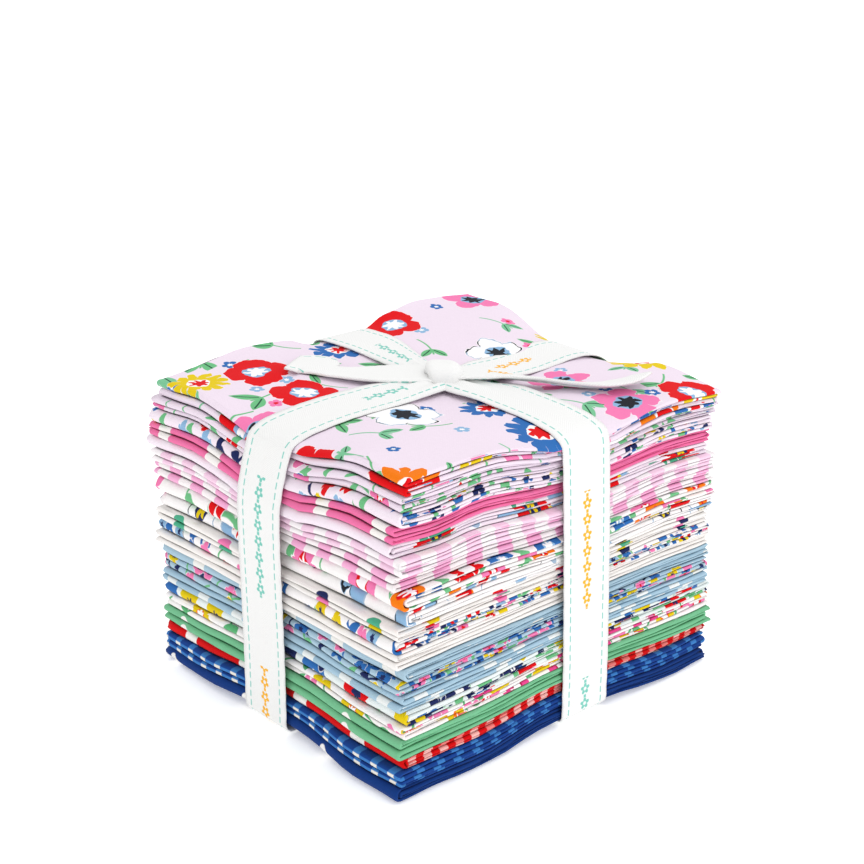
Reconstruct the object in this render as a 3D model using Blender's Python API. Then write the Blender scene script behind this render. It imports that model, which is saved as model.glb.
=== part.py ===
"""A bundle of folded fat quarters, stacked and tied with one flat tape.

Each fat quarter is a cut of quilting cotton. It is folded in four across its width into a
strip, and the strip is folded in four again, so one back-and-forth section of four passes,
each four plies thick, runs right through the piece. The tape goes round the stack both ways,
crosses underneath, and is knotted on top with two free tails.

Frame: metres, +Z up, origin under the middle of the stack at the level of the tape's
underside. The thick folds face -Y, the layered edges face +X and -X.
"""
import math

import bmesh
import bpy
from mathutils import Vector

MM = 0.001

# Folded stack: a 457 x 533 mm cut, folded in four both ways, a little loosely.
STACK_WIDTH = 115.0
STACK_DEPTH = 134.2
STACK_TOP = 96.0
HALF_X = STACK_WIDTH / 2
HALF_Y = STACK_DEPTH / 2

# Height of the stack's top face at its corners, and what lifts or presses it elsewhere: it
# sags under the knot, puffs up between the tape's grooves and is pinched where the tape
# bends over the four sides. At the foot the cloth sinks beside the tape, and the sides of the
# lowest pieces bulge between the tape and the corners.
CORNER_HEIGHT = {"left": 96.0, "front": 98.2, "right": 94.2, "back": 100.0}
MIDDLE_SAG = 1.4
PUFF = 2.6
LEFT_PUFF = 2.1
LEFT_PUFF_FADE = 10.0
PINCH = {"left": 1.2, "front": 3.5, "right": 3.0, "back": 5.8}
PINCH_CENTRE = {"left": 5.5, "front": 1.5, "right": 5.5, "back": -4.5}
PINCH_POWER = 8
FOOT_DROOP = 1.5
FOOT_FADE = 24.0
FOOT_PIECES = 4
FOOT_BULGE = 2.2
CROWN_FADE = 2.5
FACE_PRESS = 0.9

# Unevenness of the faces between pieces: two waves, each with a step from face to face and a
# number of radians over half the width and half the depth.
FACE_WAVE = 0.16
FACE_WAVES = ((1.9, 2.2, 0.7), (2.7, -0.8, 2.0))

# Tape. The grooves are where it lies on top; each loop leans sideways on its way down.
TAPE_WIDTH = 20.0
TAPE_THICK = 1.0
TAPE_CLEAR = 0.35
TAPE_CROSS_STEP = 0.4
TAPE_BEND = math.radians(46)
GROOVE_X = 1.5
GROOVE_Y = 5.5
LEAN_X = -5.5
LEAN_Y = 6.0
GROOVE_HALF = 11.0
GROOVE_FADE = 28.0
STACK_FOOT = TAPE_THICK + TAPE_CROSS_STEP + TAPE_CLEAR
# Points of the stack within this height of its foot steer the tape's turn into the underside.
FOOT_BAND = 3.2
# Above this height the tape runs over the top; below it, it leans.
TOP_RUN_LEVEL = STACK_TOP - 3.5

# Knot and tails.
KNOT_CENTRE = (1.4, 0.4, 99.9)
KNOT_RADII = (5.8, 6.2, 3.7)
KNOT_SQUARENESS = 0.85
KNOT_BEARING = 1.2
STRAP_NECK_WIDTH = 13.0
STRAP_NECK_LENGTH = 14.0
NECK_MARKS = (-1.0, -0.6, 0.6, 1.0)

# Folding: passes through one piece, as shares of its height.
PASSES = 4
PASS_GAP = 0.055
PASS_THICK = (1 - (PASSES - 1) * PASS_GAP) / PASSES
PIECE_CLEAR = 0.4
FOLD_WALL = 0.9
FOLD_NEST = 0.35
FOLD_INSET = 0.45
FOLD_UNEVEN = 0.4
FOLD_STEPS = 4
WIDE_FOLD_STEPS = 6

# Cut edges: how far they stand in from the folds, how much that varies, and how fast it
# varies from piece to piece.
FIRST_CUT_INSET = 0.5
FIRST_CUT_UNEVEN = 0.4
FIRST_CUT_STEP = 1.3
LAST_CUT_INSET = 0.7
LAST_CUT_UNEVEN = 0.5
LAST_CUT_STEP = 2.1
SIDE_INSET = 0.4
SIDE_UNEVEN = 0.35
SIDE_STEP = 1.1
SIDE_TURN = 9.0
FOLD_STEP = 1.7
FOLD_TURN = 2.3

# Order in which a strip visits the four levels of its piece.
FOLD_ORDER = {"concertina": (0, 1, 2, 3), "book": (0, 3, 2, 1)}

# One row for each fat quarter, from the top of the stack down. Lengths are millimetres and
# turn is in degrees. shift_x and shift_y move the piece in the stack; wide and deep are how
# much larger than the nominal fold it is.
COLUMNS = ("name", "thick", "shift_x", "shift_y", "turn", "wide", "deep", "fold", "colour")
FAT_QUARTERS = [
    ("fat_quarter_01", 5.4, 0.2, 0.4, 0.2, 0.4, 0.0, "concertina", (0.90, 0.78, 0.89)),
    ("fat_quarter_02", 4.0, -1.2, 0.2, 0.5, 0.8, 1.2, "concertina", (0.90, 0.76, 0.86)),
    ("fat_quarter_03", 4.5, -1.0, -0.9, 0.3, 1.2, 0.6, "book", (0.88, 0.74, 0.84)),
    ("fat_quarter_04", 4.7, -1.9, -1.3, 0.1, 1.0, 1.0, "concertina", (0.86, 0.22, 0.45)),
    ("fat_quarter_05", 4.1, -2.6, -2.0, -0.3, 2.0, 0.8, "book", (0.90, 0.78, 0.88)),
    ("fat_quarter_06", 4.9, -0.6, -0.2, 0.3, 2.4, 2.2, "concertina", (0.90, 0.70, 0.82)),
    ("fat_quarter_07", 4.8, -0.9, 0.3, -0.5, 0.6, 2.0, "concertina", (0.86, 0.45, 0.63)),
    ("fat_quarter_08", 5.8, -0.1, 0.3, 0.4, 2.0, 2.0, "book", (0.90, 0.88, 0.88)),
    ("fat_quarter_09", 4.6, 0.2, 0.6, 0.6, 0.6, 1.0, "book", (0.90, 0.88, 0.86)),
    ("fat_quarter_10", 4.1, -0.6, -0.2, 0.2, 0.8, 1.4, "concertina", (0.90, 0.87, 0.83)),
    ("fat_quarter_11", 3.9, 0.0, 0.2, -0.4, 0.4, 1.8, "book", (0.86, 0.85, 0.87)),
    ("fat_quarter_12", 4.6, -0.4, -0.4, 0.1, 0.6, 2.2, "concertina", (0.90, 0.88, 0.84)),
    ("fat_quarter_13", 3.8, 0.4, 0.5, 0.5, 0.4, 0.8, "book", (0.42, 0.60, 0.75)),
    ("fat_quarter_14", 4.3, 0.8, 0.6, -0.2, 0.0, 0.6, "concertina", (0.45, 0.63, 0.77)),
    ("fat_quarter_15", 5.2, 0.9, 0.3, 0.1, 0.6, 1.4, "concertina", (0.48, 0.66, 0.78)),
    ("fat_quarter_16", 3.8, 1.3, 1.0, 0.4, 0.2, 1.6, "book", (0.85, 0.90, 0.90)),
    ("fat_quarter_17", 4.6, 1.2, 1.2, 0.2, 0.4, 2.0, "concertina", (0.90, 0.87, 0.88)),
    ("fat_quarter_18", 5.9, 1.5, 0.9, -0.4, 1.0, 2.2, "concertina", (0.22, 0.58, 0.34)),
    ("fat_quarter_19", 3.8, 0.9, 1.4, 0.3, 0.0, 1.0, "book", (0.74, 0.01, 0.01)),
    ("fat_quarter_20", 5.4, 1.3, 0.4, 0.1, 0.8, 2.2, "concertina", (0.05, 0.20, 0.50)),
    ("fat_quarter_21", 4.1, 1.3, 0.5, -0.4, 1.2, 2.6, "book", (0.01, 0.04, 0.20)),
]
TAPE_NAME = "ribbon_tie"
TAPE_COLOUR = (0.92, 0.92, 0.92)
CLOTH_ROUGHNESS = 0.9
TAPE_ROUGHNESS = 0.8

# Pieces from the top that are modelled with the full set of stations, like those at the foot;
# the ones between lie so nearly flat that the outer and groove stations are enough.
FINE_PIECES = 8

# Path of each free tail from the knot to its cut end: centre line, direction of its width in
# plan, slope of its width, height of its lowest point above the cloth, and width.
TAIL_COLUMNS = ("plan", "across", "lean", "clear", "width")
LEFT_TAIL = [
    ((1.4, 0.4), (0.70, -0.66), -0.20, 2.4, 8.0),
    ((-3.7, -5.5), (0.70, -0.66), -0.21, 1.8, 8.5),
    ((-9.1, -11.4), (0.70, -0.66), -0.21, 1.3, 8.5),
    ((-14.6, -17.2), (0.70, -0.66), -0.10, 0.7, 8.0),
    ((-19.4, -22.3), (0.72, -0.66), 0.10, 0.5, 8.0),
    ((-24.0, -26.9), (0.74, -0.62), 0.10, 0.7, 14.0),
    ((-30.0, -32.5), (0.78, -0.60), 0.06, 0.9, 20.0),
]
RIGHT_TAIL = [
    ((1.4, 0.4), (-0.72, 0.66), -0.10, 2.4, 9.0),
    ((7.3, 6.1), (-0.72, 0.66), -0.10, 1.9, 9.0),
    ((12.7, 12.0), (-0.71, 0.66), -0.15, 1.4, 9.0),
    ((22.0, 19.7), (-0.68, 0.70), -0.30, 0.6, 8.0),
    ((30.0, 24.6), (-0.66, 0.72), -0.34, 0.5, 9.0),
    ((37.9, 29.5), (-0.70, 0.70), -0.32, 0.5, 10.0),
    ((42.0, 36.6), (-0.78, 0.60), -0.24, 0.9, 10.0),
    ((43.5, 43.4), (-0.85, 0.50), -0.20, 1.8, 8.0),
]


def rows():
    """Every fat quarter as a dictionary of its columns, from the bottom piece up.

    The extra column foot falls from 1 at the bottom piece to 0 above the foot.
    """
    made = []
    for number, row in enumerate(reversed(FAT_QUARTERS)):
        made.append({**dict(zip(COLUMNS, row)), "foot": max(0.0, 1 - number / FOOT_PIECES)})
    return made


def smooth(value):
    """Ease from 0 to 1 while value goes from 0 to 1."""
    t = min(1.0, max(0.0, value))
    return t * t * (3 - 2 * t)


def groove(offset, fade=GROOVE_FADE):
    """1 under the tape, fading to 0 beside it."""
    return 1 - smooth((abs(offset) - GROOVE_HALF) / fade)


def cushion(offset, half):
    """0 under the tape and at the stack's edge, 1 midway between."""
    t = (abs(offset) - GROOVE_HALF) / (half - GROOVE_HALF)
    return math.sin(math.pi * min(1.0, max(0.0, t))) ** 2


def crown_rise(x, y):
    """Height of the top face above STACK_TOP, in millimetres."""
    p = x / HALF_X
    q = y / HALF_Y
    left = CORNER_HEIGHT["left"] * (1 - q) + CORNER_HEIGHT["back"] * (1 + q)
    right = CORNER_HEIGHT["front"] * (1 - q) + CORNER_HEIGHT["right"] * (1 + q)
    corners = (left * (1 - p) + right * (1 + p)) / 4
    sag = MIDDLE_SAG * (1 - p ** 4) * (1 - q ** 4)
    puffs = PUFF * (cushion(x - GROOVE_X, HALF_X) + cushion(y - GROOVE_Y, HALF_Y)) / 2
    beside = (1 - groove(y - GROOVE_Y, LEFT_PUFF_FADE)) * (1 - q * q)
    puffs += LEFT_PUFF * beside * min(0.0, p) ** PINCH_POWER
    pinch = 0.0
    for side, place, share in (("back" if q > 0 else "front", x, q), ("right" if p > 0 else "left", y, p)):
        pinch += PINCH[side] * groove(place - PINCH_CENTRE[side]) * share ** PINCH_POWER
    return corners - sag + puffs - pinch - STACK_TOP


def foot_droop(x, y):
    """How far the bottom face sinks beside the tape, in millimetres."""
    beside_x = 1 - groove(x - GROOVE_X - LEAN_X, FOOT_FADE)
    beside_y = 1 - groove(y - GROOVE_Y - LEAN_Y, FOOT_FADE)
    return FOOT_DROOP * beside_x * beside_y


def wave(level, x, y):
    """Small unevenness of the face between two pieces, in millimetres."""
    total = 0.0
    for step, across, along in FACE_WAVES:
        total += math.sin(step * level + across * x / HALF_X + along * y / HALF_Y)
    return FACE_WAVE * total


def stations(fine):
    """X and Y stations shared by every piece: the edges, the tape's groove, the puffs."""
    xs = [-HALF_X, GROOVE_X - GROOVE_HALF, GROOVE_X + GROOVE_HALF, HALF_X]
    ys = [-HALF_Y, GROOVE_Y - GROOVE_HALF, GROOVE_Y + GROOVE_HALF, HALF_Y]
    if fine:
        xs = sorted(xs + [(xs[0] + xs[1]) / 2, (xs[2] + xs[3]) / 2])
        ys = sorted(ys + [(ys[0] + ys[1]) / 2, (ys[2] + ys[3]) / 2])
    return xs, ys


def face_height(level, x, y):
    """Height of the face under piece number level, counted from the bottom, at a station."""
    pieces = rows()
    total = sum(piece["thick"] for piece in pieces)
    share = sum(piece["thick"] for piece in pieces[:level]) / total
    height = STACK_FOOT + share * (STACK_TOP - STACK_FOOT)
    height += share ** CROWN_FADE * crown_rise(x, y)
    height -= (1 - share) ** CROWN_FADE * foot_droop(x, y)
    if 0 < level < len(pieces):
        height += wave(level, x, y)
    return height


def make_faces():
    """Heights of all faces on the shared stations, as one table for each face."""
    count = len(FAT_QUARTERS)
    faces = []
    for level in range(count + 1):
        fine = level > count - FINE_PIECES or level < FOOT_PIECES
        xs, ys = stations(fine)
        table = [[face_height(level, x, y) for y in ys] for x in xs]
        faces.append((xs, ys, table))
    return faces


def bracket(values, value):
    """Index of the station pair around value, and how far it lies between them.

    Past the last station the end pair is extended in a straight line.
    """
    index = 0
    while index < len(values) - 2 and value > values[index + 1]:
        index += 1
    return index, (value - values[index]) / (values[index + 1] - values[index])


def read_face(face, x, y):
    """Height of one face anywhere: flat on the two triangles of each cell."""
    xs, ys, table = face
    i, a = bracket(xs, x)
    j, b = bracket(ys, y)
    start = table[i][j]
    far_corner = table[i + 1][j + 1]
    if a >= b:
        return start + a * (table[i + 1][j] - start) + b * (far_corner - table[i + 1][j])
    return start + b * (table[i][j + 1] - start) + a * (far_corner - table[i][j + 1])


def piece_edges(piece, x, y):
    """Where the four sides of a piece lie: left and right at y, front and back at x."""
    turn = math.radians(piece["turn"])
    half_x = HALF_X + piece["wide"] / 2
    half_y = HALF_Y + piece["deep"] / 2
    bulge = FOOT_BULGE * piece["foot"]
    press_x = FACE_PRESS * groove(y - GROOVE_Y) - bulge * cushion(y - GROOVE_Y, HALF_Y)
    press_y = FACE_PRESS * groove(x - GROOVE_X) - bulge * cushion(x - GROOVE_X, HALF_X)
    left = piece["shift_x"] - half_x - turn * y + press_x
    right = piece["shift_x"] + half_x - turn * y - press_x
    front = piece["shift_y"] - half_y + turn * x + press_y
    back = piece["shift_y"] + half_y + turn * x - press_y
    return left, right, front, back


def level_share(level, side):
    """Share of the piece's height at the low (0) or high (1) side of one pass."""
    return level * (PASS_THICK + PASS_GAP) + side * PASS_THICK


def half_turn(start, stop, tip, base, end, steps):
    """Points of a half ellipse from share start to share stop, its nose at tip.

    Args:
        start: share of the height where the turn begins.
        stop: share of the height where it ends.
        tip: distance of the nose inwards from the piece's side.
        base: distance inwards at which the turn begins and ends.
        end: end of the piece, "front" or "back".
        steps: straight parts in the turn.
    """
    middle = (start + stop) / 2
    points = []
    for step in range(1, steps):
        angle = math.pi * step / steps
        inset = base - (base - tip) * math.sin(angle)
        points.append((end, inset, middle + (start - middle) * math.cos(angle)))
    return points


def fold_profile(piece, number, ys):
    """Closed outline of the folded strip, as (end, inset or station, share of height).

    Args:
        piece: the row of the fat quarter.
        number: its place in the stack, which varies the folds a little.
        ys: the inner stations along the depth.
    """
    order = FOLD_ORDER[piece["fold"]]
    pitch = piece["thick"] * (PASS_THICK + PASS_GAP)
    left_side = []
    right_side = []
    for visit, level in enumerate(order):
        towards_front = visit % 2 == 0
        row = ys if not towards_front else list(reversed(ys))
        low = level_share(level, 0)
        high = level_share(level, 1)
        sides = (low, high) if towards_front else (high, low)
        if visit == 0:
            ragged = FIRST_CUT_INSET + FIRST_CUT_UNEVEN * math.sin(FIRST_CUT_STEP * number)
            left_side.append(("back", ragged, sides[0]))
            right_side.append(("back", ragged, sides[1]))
        left_side += [("station", y, sides[0]) for y in row]
        right_side += [("station", y, sides[1]) for y in row]
        end = "front" if towards_front else "back"
        if visit == PASSES - 1:
            ragged = LAST_CUT_INSET + LAST_CUT_UNEVEN * math.sin(LAST_CUT_STEP * number)
            left_side.append((end, ragged, sides[0]))
            right_side.append((end, ragged, sides[1]))
            continue
        following = order[visit + 1]
        after_low = level_share(following, 0)
        after_high = level_share(following, 1)
        after = (after_high, after_low) if towards_front else (after_low, after_high)
        span = abs(following - level)
        book_spine = piece["fold"] == "book" and towards_front
        steps = WIDE_FOLD_STEPS if book_spine else FOLD_STEPS
        tip = FOLD_INSET + FOLD_UNEVEN * math.sin(FOLD_STEP * number + FOLD_TURN * visit)
        reach = tip + (span + 1) * pitch / 2
        if book_spine and visit == 0:
            spine = (tip, reach)
        elif book_spine:
            tip = spine[0] + FOLD_WALL + FOLD_NEST
            reach = spine[1]
        for side, start, stop in ((left_side, sides[0], after[0]), (right_side, sides[1], after[1])):
            outer = abs(stop - start) > span * (PASS_THICK + PASS_GAP)
            nose = tip if outer else tip + FOLD_WALL
            side.append((end, reach, start))
            side += half_turn(start, stop, nose, reach, end, steps)
            side.append((end, reach, stop))
    return left_side + list(reversed(right_side))


def side_inset(number, share):
    """How far one layered edge stands in from the piece's left or right side."""
    return SIDE_INSET + SIDE_UNEVEN * math.sin(SIDE_STEP * number + SIDE_TURN * share)


def place_profile(piece, number, profile, low_face, high_face, x_station, edge):
    """World points of the profile at one station across the piece.

    Args:
        piece: the row of the fat quarter.
        number: its place in the stack.
        profile: outline from fold_profile.
        low_face: the face under the piece.
        high_face: the face over it.
        x_station: where the section lies, unless it is an end.
        edge: -1 at the left end, 1 at the right end, 0 between.
    """
    points = []
    for end, value, share in profile:
        y = value
        if end != "station":
            front, back = piece_edges(piece, x_station, 0.0)[2:]
            y = front + value if end == "front" else back - value
        x = x_station
        if edge:
            left, right = piece_edges(piece, 0.0, y)[:2]
            x = (left if edge < 0 else right) - edge * side_inset(number, share)
        low = read_face(low_face, x, y) + PIECE_CLEAR / 2
        high = read_face(high_face, x, y) - PIECE_CLEAR / 2
        points.append(Vector((x, y, low + (high - low) * share)))
    return points


def cotton(name, colour, roughness):
    """A plain woven finish: Principled shader, matt, not metallic."""
    material = bpy.data.materials.new(name)
    material.use_nodes = True
    shader = material.node_tree.nodes["Principled BSDF"]
    shader.inputs["Base Color"].default_value = (*colour, 1.0)
    shader.inputs["Roughness"].default_value = roughness
    shader.inputs["Metallic"].default_value = 0.0
    material.diffuse_color = (*colour, 1.0)
    return material


def add_object(name, mesh_tool, material):
    """Turn a bmesh in millimetres into an object in metres."""
    bmesh.ops.scale(mesh_tool, vec=(MM, MM, MM), verts=mesh_tool.verts)
    bmesh.ops.recalc_face_normals(mesh_tool, faces=mesh_tool.faces)
    mesh = bpy.data.meshes.new(name)
    mesh_tool.to_mesh(mesh)
    mesh_tool.free()
    mesh.materials.append(material)
    thing = bpy.data.objects.new(name, mesh)
    bpy.context.collection.objects.link(thing)
    return thing


def close_end(mesh_tool, loop):
    """Close one end of a skin with quads between the two long sides of its ring."""
    size = len(loop)
    for i in range(size // 2 - 1):
        mesh_tool.faces.new((loop[i], loop[i + 1], loop[size - 2 - i], loop[size - 1 - i]))


def bridge_rings(mesh_tool, rings, closed_end_faces=True):
    """Skin a list of equal rings of points.

    Each quad is cut from the near corner of smaller Y to the far one of larger Y, so that
    the faces of neighbouring pieces stay parallel.
    """
    loops = [[mesh_tool.verts.new(point) for point in ring] for ring in rings]
    size = len(loops[0])
    for near, far in zip(loops, loops[1:]):
        for i in range(size):
            j = (i + 1) % size
            if near[j].co.y >= near[i].co.y:
                mesh_tool.faces.new((near[i], near[j], far[j]))
                mesh_tool.faces.new((near[i], far[j], far[i]))
            else:
                mesh_tool.faces.new((near[i], near[j], far[i]))
                mesh_tool.faces.new((near[j], far[j], far[i]))
    if closed_end_faces:
        close_end(mesh_tool, loops[0])
        close_end(mesh_tool, loops[-1])


def build_fat_quarter(piece, number, faces):
    """One fat quarter: its folded profile carried across the piece."""
    fine = number >= len(FAT_QUARTERS) - FINE_PIECES or number < FOOT_PIECES
    xs, ys = stations(fine)
    profile = fold_profile(piece, number, ys[1:-1])
    sections = [(xs[0], -1)] + [(x, 0) for x in xs[1:-1]] + [(xs[-1], 1)]
    rings = []
    for x, edge in sections:
        rings.append(place_profile(piece, number, profile, faces[number], faces[number + 1], x, edge))
    mesh_tool = bmesh.new()
    bridge_rings(mesh_tool, rings)
    return add_object(piece["name"], mesh_tool, cotton(piece["name"], piece["colour"], CLOTH_ROUGHNESS))


def hull(points):
    """Convex outline of points in a plane, anticlockwise."""
    ordered = sorted(set(points))
    chains = []
    for run in (ordered, list(reversed(ordered))):
        chain = []
        for point in run:
            while len(chain) > 1 and turn_of(chain[-2], chain[-1], point) <= 1e-9:
                chain.pop()
            chain.append(point)
        chains.append(chain[:-1])
    return chains[0] + chains[1]


def turn_of(a, b, c):
    """Positive when the path a, b, c turns left."""
    return (b[0] - a[0]) * (c[1] - b[1]) - (b[1] - a[1]) * (c[0] - b[0])


def taut_path(points, distance):
    """A loop pulled tight round points in a plane, standing off them by distance."""
    outline = hull(points)
    path = []
    count = len(outline)
    for index, here in enumerate(outline):
        before = outline[index - 1]
        after = outline[(index + 1) % count]
        first = math.atan2(here[1] - before[1], here[0] - before[0]) - math.pi / 2
        last = math.atan2(after[1] - here[1], after[0] - here[0]) - math.pi / 2
        sweep = (last - first) % (2 * math.pi)
        parts = max(1, math.ceil(sweep / TAPE_BEND))
        reach = distance / math.cos(sweep / parts / 2)
        for part in range(parts):
            angle = first + sweep * (part + 0.5) / parts
            path.append((here[0] + reach * math.cos(angle), here[1] + reach * math.sin(angle)))
    return path


def stack_outline(faces, along_y):
    """Points of all the pieces that a loop of the tape can bear on.

    Args:
        faces: the faces between the pieces.
        along_y: True for the loop over the front and back, False for left and right.
    """
    points = []
    for number, piece in enumerate(rows()):
        centre = GROOVE_X if along_y else GROOVE_Y
        depth = 1 - (number + 1) / len(FAT_QUARTERS)
        spread = TAPE_WIDTH / 2 + depth * abs(LEAN_X if along_y else LEAN_Y)
        for offset in (-spread, spread):
            across = centre + offset
            for share in (0.0, 1.0):
                points += side_points(piece, faces[number], faces[number + 1], across, share, along_y)
    for face in (faces[0], faces[-1]):
        xs, ys, table = face
        for offset in (-GROOVE_HALF, GROOVE_HALF):
            run = ys[1:-1] if along_y else xs[1:-1]
            for value in run:
                x = GROOVE_X + offset if along_y else value
                y = value if along_y else GROOVE_Y + offset
                points.append((value, read_face(face, x, y)))
    return points


def side_points(piece, low_face, high_face, across, share, along_y):
    """The outermost points of one piece on both sides of the stack, at one height."""
    points = []
    if along_y:
        ends = piece_edges(piece, across, 0.0)[2:]
    else:
        ends = piece_edges(piece, 0.0, across)[:2]
    for end in ends:
        x = across if along_y else end
        y = end if along_y else across
        low = read_face(low_face, x, y)
        high = read_face(high_face, x, y)
        points.append((end, low + (high - low) * share))
    return points


def strip_section(centre, across, normal, width):
    """Four corners of the tape at one point of its run."""
    side = across * (width / 2)
    lift = normal * (TAPE_THICK / 2)
    return [centre - side - lift, centre + side - lift, centre + side + lift, centre - side + lift]


def loop_width(height, distance):
    """Width of a loop: full, but gathered where it comes up to the knot."""
    if height < TOP_RUN_LEVEL:
        return TAPE_WIDTH
    gather = smooth((distance - KNOT_RADII[0]) / STRAP_NECK_LENGTH)
    return STRAP_NECK_WIDTH + (TAPE_WIDTH - STRAP_NECK_WIDTH) * gather


def with_neck(path, knot_across):
    """The path with extra points over the top, where the tape gathers towards the knot."""
    reach = KNOT_RADII[0] + STRAP_NECK_LENGTH
    marks = [knot_across + reach * share for share in NECK_MARKS]
    made = []
    for here, after in zip(path, path[1:] + path[:1]):
        made.append(here)
        run = after[0] - here[0]
        if min(here[1], after[1]) < TOP_RUN_LEVEL:
            continue
        shares = sorted((mark - here[0]) / run for mark in marks)
        for share in shares:
            if 0.0 < share < 1.0:
                made.append((here[0] + run * share, here[1] + (after[1] - here[1]) * share))
    return made


def build_loop(name, faces, along_y, lift):
    """One closed turn of the tape round the stack, pulled up to the knot.

    Args:
        name: the object's name.
        faces: the faces between the pieces.
        along_y: True for the loop over the front and back, False for left and right.
        lift: how much higher this loop lies under the stack than the tape's underside.
    """
    knot_across = KNOT_CENTRE[1] if along_y else KNOT_CENTRE[0]
    points = stack_outline(faces, along_y)
    points.append((knot_across, KNOT_CENTRE[2] - KNOT_RADII[2] + KNOT_BEARING))
    under = lift + TAPE_THICK + TAPE_CLEAR
    lowest = [value for value, height in points if height < STACK_FOOT + FOOT_BAND]
    points += [(min(lowest), under), (max(lowest), under)]
    outline = with_neck(taut_path(points, TAPE_CLEAR + TAPE_THICK / 2), knot_across)
    plane, lean, target = (
        (GROOVE_X, LEAN_X, KNOT_CENTRE[0]) if along_y else (GROOVE_Y, LEAN_Y, KNOT_CENTRE[1])
    )
    rings = []
    count = len(outline)
    for index, (value, height) in enumerate(outline):
        here = Vector((value, height))
        arriving = (here - Vector(outline[index - 1])).normalized()
        leaving = (Vector(outline[(index + 1) % count]) - here).normalized()
        tangent = (arriving + leaving).normalized()
        width = loop_width(height, abs(value - knot_across))
        drift = (target - plane) * (TAPE_WIDTH - width) / (TAPE_WIDTH - STRAP_NECK_WIDTH)
        drift += lean * (1 - min(1.0, height / (TOP_RUN_LEVEL)))
        if along_y:
            centre = Vector((plane + drift, value, height))
            normal = Vector((0, tangent[1], -tangent[0]))
            across = Vector((1, 0, 0))
        else:
            centre = Vector((value, plane + drift, height))
            normal = Vector((tangent[1], 0, -tangent[0]))
            across = Vector((0, 1, 0))
        rings.append(strip_section(centre, across, normal, width))
    mesh_tool = bmesh.new()
    bridge_rings(mesh_tool, rings + [rings[0]], closed_end_faces=False)
    bmesh.ops.remove_doubles(mesh_tool, verts=mesh_tool.verts, dist=0.01)
    return add_object(name, mesh_tool, cotton(name, TAPE_COLOUR, TAPE_ROUGHNESS))


def tail_stop(stop, top_face):
    """Centre and width direction of a tail at one point, resting clear of the cloth."""
    across = Vector((*stop["across"], stop["lean"])).normalized()
    x, y = stop["plan"]
    height = 0.0
    for part in (-0.5, -0.25, 0.0, 0.25, 0.5):
        reach = across * (stop["width"] * part)
        cloth = read_face(top_face, x + reach[0], y + reach[1])
        height = max(height, cloth - reach[2])
    return Vector((x, y, height + stop["clear"] + TAPE_THICK / 2)), across


def build_tail(name, table, top_face):
    """One free tail of the tape, from inside the knot to its cut end."""
    stops = [dict(zip(TAIL_COLUMNS, row)) for row in table]
    places = [tail_stop(stop, top_face) for stop in stops]
    rings = []
    for index, (here, across) in enumerate(places):
        before = places[max(0, index - 1)][0]
        after = places[min(len(places) - 1, index + 1)][0]
        tangent = (after - before).normalized()
        across = (across - tangent * across.dot(tangent)).normalized()
        rings.append(strip_section(here, across, tangent.cross(across), stops[index]["width"]))
    mesh_tool = bmesh.new()
    bridge_rings(mesh_tool, rings)
    return add_object(name, mesh_tool, cotton(name, TAPE_COLOUR, TAPE_ROUGHNESS))


def build_knot(name):
    """The knot: a rounded lump where the loops and tails meet."""
    mesh_tool = bmesh.new()
    bmesh.ops.create_uvsphere(mesh_tool, u_segments=12, v_segments=8, radius=1.0)
    for vert in mesh_tool.verts:
        squared = Vector([math.copysign(abs(value) ** KNOT_SQUARENESS, value) for value in vert.co])
        vert.co = Vector([KNOT_CENTRE[i] + squared[i] * KNOT_RADII[i] for i in range(3)])
    return add_object(name, mesh_tool, cotton(name, TAPE_COLOUR, TAPE_ROUGHNESS))


def join_tape(body, others):
    """Unite the parts of the tape into one closed body and remove the loose parts."""
    for other in others:
        union = body.modifiers.new(other.name, "BOOLEAN")
        union.operation = "UNION"
        union.solver = "EXACT"
        union.object = other
    bpy.context.view_layer.update()
    graph = bpy.context.evaluated_depsgraph_get()
    joined = bpy.data.meshes.new_from_object(body.evaluated_get(graph), depsgraph=graph)
    body.modifiers.clear()
    body.data = joined
    for other in others:
        bpy.data.objects.remove(other)


def build_tape(faces):
    """The tie: both loops, the knot and the two tails, as one body."""
    body = build_loop(TAPE_NAME, faces, True, 0.0)
    others = [
        build_loop("side_loop", faces, False, TAPE_CROSS_STEP),
        build_knot("knot"),
        build_tail("left_tail", LEFT_TAIL, faces[-1]),
        build_tail("right_tail", RIGHT_TAIL, faces[-1]),
    ]
    join_tape(body, others)
    return body


def main():
    """Clear the scene and build the bundle."""
    for thing in list(bpy.data.objects):
        bpy.data.objects.remove(thing)
    faces = make_faces()
    for number, piece in enumerate(rows()):
        build_fat_quarter(piece, number, faces)
    build_tape(faces)


main()
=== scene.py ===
"""Looks of a tied bundle of folded fat quarters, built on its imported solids.

Twenty-one cuts of printed quilting cotton, each folded in four both ways, lie in one stack. A
flat cotton tape with a running-stitch border goes round the stack both ways and is knotted on
top. Each cut is one open sheet that follows its own folds, ply by ply, and the tape is one thin
band with a face and a back.

Sizes in classes and tables are millimetres, but metres in the studio; meshes are written in
metres.
"""
import logging
import math
from dataclasses import dataclass, field
from enum import Enum
from typing import NamedTuple, Sequence, Union

import bpy
import numpy as np
from mathutils import Matrix, Vector


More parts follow.
